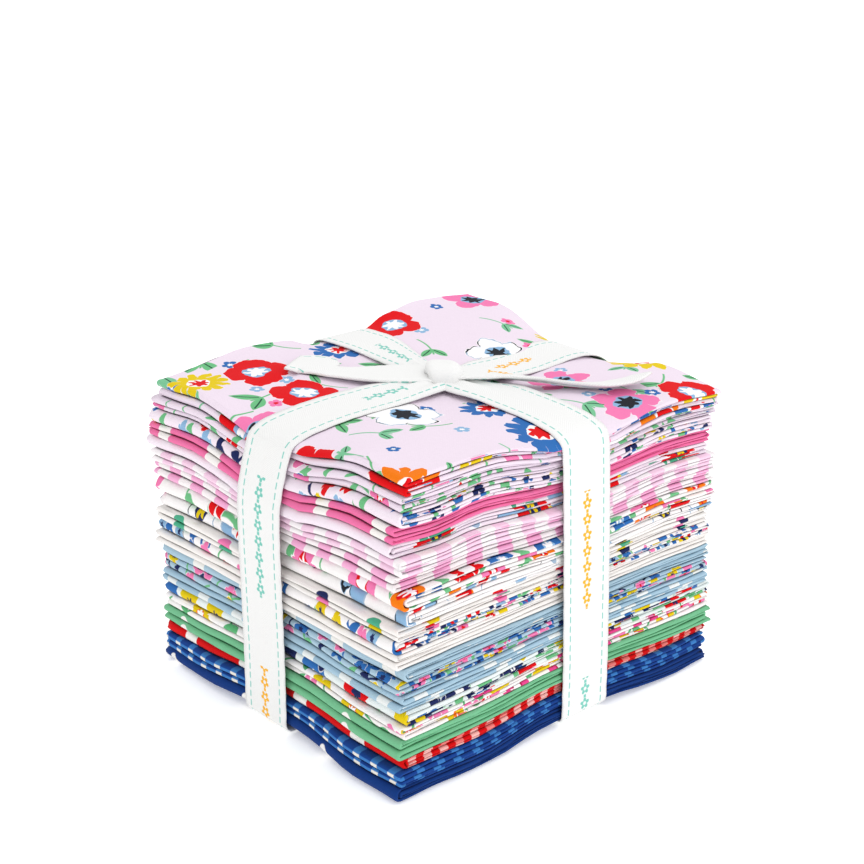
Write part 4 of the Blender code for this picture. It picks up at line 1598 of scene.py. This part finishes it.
@dataclass
class Band:
    """A strip of tape as rings of points: the face from edge to edge, then the back.

    Attributes:
        rings: points in millimetres, (stations, ring, 3).
        run: place along the tape of each station, one more than the rings if closed.
        side: place across the tape of each point of a ring's face half.
        closed: whether the last ring joins the first.
    """

    rings: Array
    run: Array
    side: Array
    closed: bool


@dataclass(frozen=True)
class Neck:
    """How far from the knot one strap narrows, and to what width."""

    width: float
    length: float


@dataclass(frozen=True)
class TailStop:
    """One point along a free end.

    Attributes:
        x: place across the stack.
        y: place along the stack.
        z: height over the surface that the bundle rests on.
        aim: direction of the tape's width in plan, in degrees from +X.
        slope: rise of the width in that direction.
        width: width that shows on top.
    """

    x: float
    y: float
    z: float
    aim: float
    slope: float
    width: float


# Columns: x, y, z, aim in degrees, slope, width that shows.
LEFT_END = (
    TailStop(1.7, 0.5, 99.1, -42.0, -0.05, 12.0),
    TailStop(-3.5, -4.0, 99.1, -42.0, -0.05, 13.5),
    TailStop(-8.5, -9.6, 98.9, -42.0, -0.05, 14.0),
    TailStop(-13.2, -14.3, 98.6, -42.0, -0.05, 12.5),
    TailStop(-17.2, -18.2, 98.4, -42.0, -0.06, 10.0),
    TailStop(-20.8, -21.8, 98.5, -42.0, -0.06, 8.0),
    TailStop(-23.6, -24.2, 98.8, -42.0, -0.05, 8.5),
    TailStop(-27.6, -24.2, 99.0, -42.0, -0.05, 13.5),
    TailStop(-31.4, -24.6, 99.1, -42.0, -0.02, 18.0),
    TailStop(-34.4, -26.8, 99.2, -42.0, 0.04, 18.5),
    TailStop(-36.6, -28.9, 99.4, -42.0, 0.08, 18.0),
)

RIGHT_END = (
    TailStop(1.7, 0.5, 99.2, 137.0, -0.05, 11.0),
    TailStop(5.6, 7.6, 99.4, 137.0, -0.04, 13.0),
    TailStop(9.4, 11.8, 99.4, 137.0, -0.06, 13.5),
    TailStop(13.0, 14.6, 99.2, 137.0, -0.15, 12.0),
    TailStop(17.2, 17.0, 99.0, 136.0, -0.29, 9.5),
    TailStop(22.4, 21.4, 98.8, 135.0, -0.34, 9.0),
    TailStop(30.2, 26.4, 98.5, 132.0, -0.33, 9.0),
    TailStop(36.2, 30.4, 98.6, 132.0, -0.30, 9.0),
    TailStop(40.2, 34.2, 98.9, 137.0, -0.20, 9.5),
    TailStop(42.0, 39.2, 99.2, 143.0, -0.17, 9.5),
    TailStop(42.4, 43.6, 99.6, 150.0, -0.20, 8.0),
    TailStop(42.2, 46.4, 99.9, 152.0, -0.24, 7.0),
)

TEAL, AMBER = "#7CCFC0", "#FBB81B"

# Ends of each ornamented stretch, as points near the turn, and its ink.
FRONT_ZONES = (
    ((-2.0, -66.5, 84.0), (-2.0, -66.5, 46.0), TEAL),
    ((-4.0, -66.5, 22.0), (-4.0, -66.5, 2.0), AMBER),
    ((1.5, -30.0, 97.0), (1.5, -12.0, 99.0), TEAL),
    ((1.5, 16.0, 99.0), (1.5, 40.0, 98.0), AMBER),
    ((-2.0, 66.5, 80.0), (-2.0, 66.5, 42.0), TEAL),
)
SIDE_ZONES = (
    ((57.0, 7.0, 74.0), (57.0, 8.5, 36.0), AMBER),
    ((57.0, 10.0, 12.0), (57.0, 11.0, 2.0), TEAL),
    ((-34.0, 5.5, 98.0), (-14.0, 5.5, 99.0), TEAL),
    ((-57.0, 7.0, 78.0), (-57.0, 8.5, 40.0), AMBER),
)
RIGHT_ZONES = (((7.5, 9.8, 99.4), (15.0, 15.8, 99.0), AMBER),)


@dataclass
class TapeTie:
    """The tape: two turns round the stack, the knot and the two free ends.

    A neck is where a strap is drawn together at the knot; the front strap also leans and bows a
    little sideways, as it was tied.
    """

    shape: StackShape
    cuts: list
    width: float = 20.0
    thick: float = 0.32
    clear: float = 0.3
    across_points: int = 15
    step: float = 1.6
    under_front: float = 0.35
    under_side: float = 0.92
    # Points this far above the stack's foot count as its lowest edge.
    foot_reach: float = 3.2
    corner_step: float = math.radians(12)
    knot_centre: tuple = (2.55, 1.05, 98.8)
    knot_radii: tuple = (5.5, 6.2, 4.5)
    knot_axis: tuple = (0.683, 0.730, 0.0)
    knot_bearing: float = 3.1
    knot_lump: float = 0.014
    knot_lean: float = -0.3
    knot_square: float = 2.2
    knot_rings: int = 61
    knot_around: int = 72
    neck_front: Neck = Neck(13.0, 22.0)
    neck_back: Neck = Neck(12.5, 18.0)
    neck_left: Neck = Neck(11.0, 42.0)
    neck_right: Neck = Neck(13.0, 16.0)
    front_shift: float = -0.8
    front_bow: float = -2.8
    front_start: float = -20.0
    front_fade: float = 40.0
    bow_height: float = 100.0
    bow_power: float = 1.9
    back_sag: float = 1.7
    back_sag_length: float = 58.0
    # Half of the width on which a strap bears, and how far the top cloth gives way at its edge.
    bearing: float = 9.0
    give: float = 0.3
    # Length that is left out between two parts, so that their prints don't run on.
    spare: float = 20.0
    gather_fold: float = 0.45
    gather_sink: float = 0.4
    # Small unevenness of the tape's width and of its way round the stack.
    width_ripple: float = 0.08
    wander: float = 0.35
    fine_step: float = 0.8
    tail_points: int = 41
    cut_fade: float = 14.0
    loose_width: float = 4.0
    loose_lift: float = 0.75
    tail_arch: float = 0.2
    left_slant: float = 1.5
    right_slant: float = -3.5
    tuck_radius: float = 0.3
    tuck_turn: float = math.radians(172)
    # Places across the tape this far out carry no print.
    back_offset: float = 100.0
    # In the bake map each band has a lane, with these shares of it for the band and its cut ends.
    lane_inset: float = 0.02
    lane_share: float = 0.96
    cap_place: float = 0.985
    cap_width: float = 0.01
    cap_height: float = 0.002
    name: str = "knotted_tape"
    node: str = "ribbon_tie"
    slot: str = "tape"

    def side_ends(self, cut: FoldedCut, across: float, along_y: bool) -> tuple:
        """Where the two sides of a cut lie under the tape.

        Args:
            cut: the folded cut.
            across: place across the tape.
            along_y: True for the front and back side, False for left and right.

        Returns:
            The low and the high side's place.
        """
        s = self.shape
        turn = math.radians(cut.row.turn)
        half = s.half_y + cut.row.deep / 2 if along_y else s.half_x + cut.row.wide / 2
        shift = cut.row.shift_y if along_y else cut.row.shift_x
        plane = s.groove_x if along_y else s.groove_y
        press = float(s.press * s.groove(np.array(across - plane)))
        slope = turn * across if along_y else -turn * across
        return shift - half + slope + press, shift + half + slope - press

    def outline(self, along_y: bool) -> list:
        """Points that a turn of the tape can bear on, in the plane of the turn.

        Args:
            along_y: True for the turn over the front and back, False for left and right.

        Returns:
            Pairs of the place and the height.
        """
        s = self.shape
        points = []
        centre, lean, half = (
            (s.groove_x, s.lean_x, s.half_y) if along_y else (s.groove_y, s.lean_y, s.half_x)
        )

        def bear(level: int, share: float, across: float, value: float, give: float = 0.0) -> None:
            """Add the point of one face at a place across the tape and along its turn."""
            x, y = (across, value) if along_y else (value, across)
            height = float(s.face(level, share, np.array(x), np.array(y)))
            points.append((float(value - math.copysign(give, value)), height))

        for cut in self.cuts:
            for offset in (-self.bearing, self.bearing):
                across = centre + offset + lean * (1 - cut.high)
                for end in self.side_ends(cut, across, along_y):
                    bear(cut.number, cut.low, across, end)
                    bear(cut.number + 1, cut.high, across, end, self.give if cut.high == 1.0 else 0.0)
        for value in np.linspace(-half + 1.5, half - 1.5, 31):
            for offset in (-self.bearing, 0.0, self.bearing):
                bear(len(self.cuts), 1.0, centre + offset, value)
        return points

    def loop_path(self, along_y: bool, under: float) -> Array:
        """Middle line of one turn, as (place, height) in its plane, even and softly rounded.

        Args:
            along_y: True for the turn over the front and back, False for left and right.
            under: height of the middle line under the stack.

        Returns:
            Points of the closed line.
        """
        knot = self.knot_centre[1] if along_y else self.knot_centre[0]
        points = self.outline(along_y)
        points.append((knot, self.knot_centre[2] - self.knot_radii[2] + self.knot_bearing))
        reach = self.clear + self.thick / 2
        lows = [value for value, height in points if height < self.shape.foot + self.foot_reach]
        points += [(min(lows) + 1.0, under + reach), (max(lows) - 1.0, under + reach)]
        ring = hull([(round(a, 4), round(b, 4)) for a, b in points])
        path = []
        count = len(ring)
        for index, here in enumerate(ring):
            before, after = ring[index - 1], ring[(index + 1) % count]
            first = math.atan2(here[1] - before[1], here[0] - before[0]) - math.pi / 2
            last = math.atan2(after[1] - here[1], after[0] - here[0]) - math.pi / 2
            sweep = (last - first) % (2 * math.pi)
            parts = max(1, math.ceil(sweep / self.corner_step))
            for part in range(parts + 1):
                angle = first + sweep * part / parts
                path.append((here[0] + reach * math.cos(angle), here[1] + reach * math.sin(angle)))
        even = resample(np.array(path), self.fine_step, True)
        even = soften(even, 4, True)
        return resample(even, self.step, True)

    def section(self, gather: float, half: float) -> Array:
        """Cross-section of the tape, as (sideways, up) from edge to edge.

        Args:
            gather: 0 for flat tape, 1 where it is pulled together at the knot.
            half: half of the width that it takes there.

        Returns:
            One row for each point across.
        """
        t = np.linspace(-1.0, 1.0, self.across_points)
        folds = self.gather_fold * np.cos(3.0 * np.pi * t + 0.6)
        rise = gather * (1 - t ** 2 - self.gather_sink + folds)
        return np.stack([t * half, rise], axis=1)

    def ring(self, middle: Vector, across: Vector, normal: Vector, section: Array) -> Array:
        """Points of the tape's face and back round one station.

        Args:
            middle: the station.
            across: direction of the tape's width.
            normal: direction that its face looks.
            section: the cross-section, as (sideways, up) from edge to edge.

        Returns:
            The ring: the face from edge to edge, then the back.
        """
        slopes = np.gradient(section, axis=0)
        slopes /= np.linalg.norm(slopes, axis=1)[:, None]
        outwards = np.stack([-slopes[:, 1], slopes[:, 0]], axis=1) * (self.thick / 2)
        face, back = section + outwards, (section - outwards)[::-1]
        flat = np.vstack([face, back])
        base = np.array(middle)
        return base + flat[:, :1] * np.array(across) + flat[:, 1:] * np.array(normal)

    def loop(self, along_y: bool, under: float, start: float) -> Band:
        """One closed turn of the tape round the stack.

        Args:
            along_y: True for the turn over the front and back.
            under: height of its middle line under the stack.
            start: place along the tape where the turn begins.

        Returns:
            The band of the turn.
        """
        s = self.shape
        if along_y:
            target, knot = self.knot_centre[:2]
            plane, lean, necks = s.groove_x, s.lean_x, (self.neck_front, self.neck_back)
        else:
            knot, target = self.knot_centre[:2]
            plane, lean, necks = s.groove_y, s.lean_y, (self.neck_left, self.neck_right)
        path = self.loop_path(along_y, under)
        low = int(np.argmin(np.abs(path[:, 0]) + path[:, 1] * 10))
        path = np.roll(path, -low, axis=0)
        count = len(path)
        steps = np.linalg.norm(np.roll(path, -1, axis=0) - path, axis=1)
        run = start + np.concatenate([[0.0], np.cumsum(steps)])
        rings = []
        for index, (value, height) in enumerate(path):
            tangent = path[(index + 1) % count] - path[index - 1]
            tangent = tangent / np.linalg.norm(tangent)
            gather = 0.0
            neck = necks[0] if value < knot else necks[1]
            if height > s.top_run:
                far = abs(value - knot) - self.knot_radii[0] + 1.0
                gather = 1 - float(smooth(np.array(far / neck.length)))
                if along_y and value > knot:
                    gone = min(1.0, (value - knot) / self.back_sag_length)
                    height -= self.back_sag * math.sin(math.pi * gone) ** 2
            half = (self.width + (neck.width - self.width) * gather) / 2
            half += self.width_ripple * math.sin(0.9 * run[index]) * (1 - gather)
            up = min(1.0, height / s.top_run)
            drift = (target - plane) * gather + lean * (1 - up)
            drift += self.wander * math.sin(0.045 * run[index])
            if along_y:
                ahead = float(smooth(np.array((self.front_start - value) / self.front_fade)))
                bowed = min(1.0, max(0.0, height / self.bow_height)) ** self.bow_power
                drift += ahead * (self.front_shift * up + self.front_bow * math.sin(math.pi * bowed))
                middle, across = Vector((plane + drift, value, height)), Vector((1, 0, 0))
                normal = Vector((0, tangent[1], -tangent[0]))
            else:
                middle, across = Vector((value, plane + drift, height)), Vector((0, -1, 0))
                normal = Vector((tangent[1], 0, -tangent[0]))
            rings.append(self.ring(middle, across, normal, self.section(gather, half)))
        side = np.linspace(-self.width / 2, self.width / 2, self.across_points)
        return Band(np.array(rings), run, side, True)

    def tail(self, stops: Sequence, slant: float, start: float) -> Band:
        """One free end, from inside the knot to its cut end.

        Args:
            stops: rows of TailStop along its middle line.
            slant: how much further one edge reaches than the other at the cut.
            start: place along the tape where it begins.

        Returns:
            The band of the end.
        """
        rows = []
        for stop in stops:
            aim = math.radians(stop.aim)
            rows.append([stop.x, stop.y, stop.z, math.cos(aim), math.sin(aim), stop.slope, stop.width])
        full = soften(resample(np.array(rows), self.fine_step, False), 9, False)
        line = full[:, :3]
        run = np.concatenate([[0.0], np.cumsum(np.linalg.norm(np.diff(line, axis=0), axis=1))])
        rings = []
        for index, row in enumerate(full):
            ahead, behind = line[min(index + 1, len(line) - 1)], line[max(index - 1, 0)]
            tangent = Vector(ahead - behind).normalized()
            across = Vector(row[3:6]).normalized()
            across = (across - tangent * across.dot(tangent)).normalized()
            normal = across.cross(tangent)
            if normal.z < 0:
                normal = -normal
            ring = self.ring(Vector(row[:3]), across, normal, self.tucked_section(row[6]))
            near_end = 1 - float(smooth(np.array((run[-1] - run[index]) / self.cut_fade)))
            t = np.linspace(-1.0, 1.0, len(ring) // 2)
            reach = slant * near_end * np.concatenate([t, t[::-1]])
            rings.append(ring + reach[:, None] * np.array(tangent))
        side = np.linspace(-self.width / 2, self.width / 2, self.tail_points)
        return Band(np.array(rings), start + run, side, False)

    def tucked_section(self, width: float) -> Array:
        """Cross-section of a free end whose edges are folded under.

        Args:
            width: width that is left on top; the rest is tucked under on both sides.

        Returns:
            One row (sideways, up) for each point across.
        """
        bend = self.tuck_radius
        flat = min(width / 2, self.width / 2) - bend
        place = np.linspace(-self.width / 2, self.width / 2, self.tail_points)
        past = np.abs(place) - flat
        angle = np.clip(past / bend, 0.0, self.tuck_turn)
        under = np.maximum(past - self.tuck_turn * bend, 0.0)
        sideways = np.minimum(np.abs(place), flat) + bend * np.sin(angle)
        sideways = sideways + under * math.cos(self.tuck_turn)
        down = bend * (1 - np.cos(angle)) + under * math.sin(self.tuck_turn)
        loose = 1 - smooth(np.array((self.width - width) / self.loose_width))
        down = down * (1 - self.loose_lift * loose)
        arch = self.tail_arch * (1 - (place / (self.width / 2)) ** 2)
        return np.stack([np.sign(place) * sideways, arch - down], axis=1)

    def knot(self, start: float) -> Band:
        """The knot: the tape wrapped round its own straps, drawn tight into a small pillow.

        Args:
            start: place along the tape where the wrap begins.

        Returns:
            Rings round the pillow's long axis.
        """
        axis = Vector(self.knot_axis).normalized()
        up = Vector((0, 0, 1))
        beside = up.cross(axis)
        rings = []
        for i in range(self.knot_rings):
            t = -1.0 + 2.0 * i / (self.knot_rings - 1)
            # The left rim is blunt; the right one tapers into the straps.
            blunt, taper = (7.0, 0.3) if t < 0 else (2.2, 0.62)
            body = max(0.0, 1 - abs(t) ** blunt) ** taper
            ring = []
            for j in range(self.knot_around):
                angle = -2 * math.pi * j / self.knot_around
                c, s = math.cos(angle), math.sin(angle)
                # The wrap's left rim slants; its lap lies a little proud of the rest.
                lump = 1 + self.knot_lump * math.sin(3 * angle + 2.0 * t)
                lean = self.knot_lean * s * max(0.0, -t)
                power = self.knot_square
                wide = body * lump * (abs(c) ** power + abs(s) ** power) ** (-1 / power)
                spot = axis * ((t + lean) * self.knot_radii[0]) + beside * (c * wide * self.knot_radii[1])
                spot += up * (s * wide * self.knot_radii[2])
                ring.append(np.array(Vector(self.knot_centre) + spot))
            rings.append(ring)
        run = start + np.linspace(0.0, 2 * self.knot_radii[0], self.knot_rings)
        side = np.linspace(-self.width / 2, self.width / 2, self.knot_around // 2)
        return Band(np.array(rings), run, side, False)

    def mesh_data(self, bands: list, plain: int) -> tuple:
        """Skin all bands as quads.

        Args:
            bands: the bands of the tape.
            plain: number of the band that shows no print.

        Returns:
            Points, faces, print map and bake map.
        """
        points, faces, prints, bakes = [], [], [], []
        base = 0
        lane = 1.0 / len(bands)
        for number, band in enumerate(bands):
            count, size = band.rings.shape[:2]
            points.append(band.rings.reshape(-1, 3))
            half = size // 2
            spans = count if band.closed else count - 1
            length = band.run[-1] - band.run[0]
            side = np.concatenate([band.side, band.side[::-1] + self.back_offset])
            if number == plain:
                side = side + self.back_offset
            for i in range(spans):
                near, far = base + i * size, base + ((i + 1) % count) * size
                for j in range(size):
                    k = (j + 1) % size
                    faces.append((near + j, far + j, far + k, near + k))
                    end = side[j] if j in (half - 1, size - 1) else side[k]
                    prints.append([
                        (band.run[i], side[j]), (band.run[i + 1], side[j]),
                        (band.run[i + 1], end), (band.run[i], end),
                    ])
                    u0, u1 = ((band.run[n] - band.run[0]) / length for n in (i, i + 1))
                    v0, v1 = (
                        lane * (number + self.lane_inset + self.lane_share * n / size) for n in (j, j + 1)
                    )
                    bakes.append([(u0, v0), (u1, v0), (u1, v1), (u0, v1)])
            if not band.closed:
                for i, at in ((0, 0), (count - 1, -1)):
                    row = base + i * size
                    for j in range(half - 1):
                        quad = [row + j, row + j + 1, row + size - 2 - j, row + size - 1 - j]
                        faces.append(tuple(quad if i == 0 else quad[::-1]))
                        prints.append([(band.run[at], self.back_offset)] * 4)
                        v0 = lane * (number + self.cap_place)
                        u0 = (j + (half if at else 0)) / size
                        u1, v1 = u0 + self.cap_width, v0 + self.cap_height
                        bakes.append([(u0, v0), (u1, v0), (u1, v1), (u0, v1)])
            base += count * size
        return np.vstack(points), np.array(faces), np.array(prints) * MM, np.array(bakes)

    def zones(self, bands: list) -> tuple:
        """Stretches of the tape that carry the ornament, from where they lie.

        Args:
            bands: the front-to-back turn, the side-to-side turn and the right end.

        Returns:
            The zones for the finish.
        """
        made = []
        for band, rows in zip(bands, (FRONT_ZONES, SIDE_ZONES, RIGHT_ZONES)):
            middles = band.rings[:, : len(band.side)].mean(axis=1)
            for first, last, colour in rows:
                places = [
                    band.run[int(np.argmin(np.linalg.norm(middles - np.array(spot), axis=1)))]
                    for spot in (first, last)
                ]
                made.append(Zone(min(places), max(places), colour))
        return tuple(made)

    def build(self) -> bpy.types.Object:
        """Make the tape, dress it, tie it to the frame and report it.

        Returns:
            The finished piece.
        """
        front = self.loop(True, self.under_front, 0.0)
        side = self.loop(False, self.under_side, front.run[-1] + self.spare)
        left = self.tail(LEFT_END, self.left_slant, side.run[-1] + self.spare)
        right = self.tail(RIGHT_END, self.right_slant, left.run[-1] + self.spare)
        knot = self.knot(right.run[-1] + self.spare)
        bands = [front, side, left, right, knot]
        points, faces, prints, bakes = self.mesh_data(bands, len(bands) - 1)
        finish = CottonTwillTape("cotton_twill_tape", self.zones([front, side, right]))
        piece = make_piece(self.name, points, faces, prints, bakes, finish.material())
        length = sum(band.run[-1] - band.run[0] for band in bands)
        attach(piece, BODY)
        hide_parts(self.node)
        LOG.info("%s: %d faces, %.0f mm of tape", piece.name, len(piece.data.polygons), length)
        return piece


# ---- studio


@dataclass(frozen=True)
class PaperSweep:
    """Smooth white background paper, rolled flat; its sizes are metres.

    The eye sees an even, nearly white matt floor.
    """

    name: str = "white_background_paper"
    colour: str = "#FCFCFC"
    size: float = 6.0
    # Faint cloudiness of the paper, some 60 mm across.
    cloud: float = 0.06
    glow: float = 0.3
    drop: float = 0.0004

    def build(self) -> bpy.types.Object:
        """Make the floor.

        Returns:
            The floor.
        """
        shade = Shade(self.name)
        place = shade.add("NewGeometry", take="Position")
        cloud = shade.add("TexNoise", {"Vector": place, "Scale": 1 / self.cloud, "Detail": 3.0})
        tone = shade.add("MULTIPLY_ADD", cloud, 0.01, 0.99)
        colour = shade.add("VectorMath", {0: linear(self.colour), "Scale": tone}, operation="SCALE")
        # Its own light makes up for the lamps that a studio would turn on the background.
        shader = shade.add("BsdfPrincipled", {
            "Base Color": colour, "Roughness": 0.9, "Emission Color": (1.0, 1.0, 1.0, 1.0),
            "Emission Strength": self.glow,
        })
        shade.add("OutputMaterial", shader, take=None)
        half = self.size / 2
        corners = [(-half, -half, 0), (half, -half, 0), (half, half, 0), (-half, half, 0)]
        mesh = bpy.data.meshes.new("floor")
        mesh.from_pydata(corners, [], [(0, 1, 2, 3)])
        mesh.materials.append(shade.material)
        floor = bpy.data.objects.new("floor", mesh)
        floor.location = (0.0, 0.0, -self.drop)
        bpy.context.scene.collection.objects.link(floor)
        return floor


@dataclass(frozen=True)
class SoftBox:
    """A large soft light, in metres and watts."""

    name: str
    place: tuple
    size: float
    power: float
    aim: tuple = (0.0, 0.0, 0.05)

    def build(self) -> None:
        """Hang the light and turn it to its aim."""
        data = bpy.data.lights.new(self.name, "AREA")
        data.shape = "SQUARE"
        data.size = self.size
        data.energy = self.power
        lamp = bpy.data.objects.new(self.name, data)
        lamp.location = self.place
        look = Vector(self.aim) - Vector(self.place)
        lamp.rotation_mode = "QUATERNION"
        lamp.rotation_quaternion = look.to_track_quat("-Z", "Y")
        bpy.context.scene.collection.objects.link(lamp)


@dataclass(frozen=True)
class Studio:
    """Camera, white surroundings and soft lights.

    The camera's place is in metres and its angles in degrees, as fitted to the photograph.
    """

    place: tuple = (0.3687, -0.3475, 0.2689)
    heading: float = -46.9
    tilt: float = 20.5
    roll: float = -1.28
    lens: float = 71.6
    surround: float = 1.0

    def camera(self) -> None:
        """Set the camera at the photograph's angle."""
        data = bpy.data.cameras.new("camera")
        data.sensor_width = 36.0
        data.lens = self.lens
        data.clip_start, data.clip_end = 0.01, 20.0
        thing = bpy.data.objects.new("camera", data)
        turn, dip, roll = (math.radians(v) for v in (self.heading, self.tilt, self.roll))
        level = math.cos(dip)
        forward = Vector((math.sin(turn) * level, math.cos(turn) * level, -math.sin(dip)))
        right = forward.cross(Vector((0, 0, 1))).normalized()
        up = right.cross(forward)
        sideways = right * math.cos(roll) - up * math.sin(roll)
        upright = right * math.sin(roll) + up * math.cos(roll)
        axes = Matrix((sideways, upright, -forward)).transposed()
        thing.matrix_world = Matrix.Translation(self.place) @ axes.to_4x4()
        bpy.context.scene.collection.objects.link(thing)
        bpy.context.scene.camera = thing

    def surroundings(self) -> None:
        """Even white light from all round."""
        world = bpy.data.worlds.new("white_surround")
        world.use_nodes = True
        back = world.node_tree.nodes["Background"]
        back.inputs["Color"].default_value = (1.0, 1.0, 1.0, 1.0)
        back.inputs["Strength"].default_value = self.surround
        bpy.context.scene.world = world

    def build(self) -> None:
        """Set up the whole studio."""
        self.camera()
        self.surroundings()
        PaperSweep().build()
        SoftBox("overhead", (0.25, 0.25, 1.2), 0.8, 2.6).build()
        SoftBox("right_side", (1.2, -0.1, 0.6), 0.9, 2.4).build()
        bpy.context.scene.view_settings.view_transform = "Standard"


def main() -> None:
    """Build the bundle's pieces in order and report each."""
    logging.basicConfig(level=logging.INFO, format="%(name)s %(message)s")
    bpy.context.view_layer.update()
    Studio().build()
    stack = Stack()
    TapeTie(stack.shape, stack.build()).build()


if __name__ == "__main__":
    main()
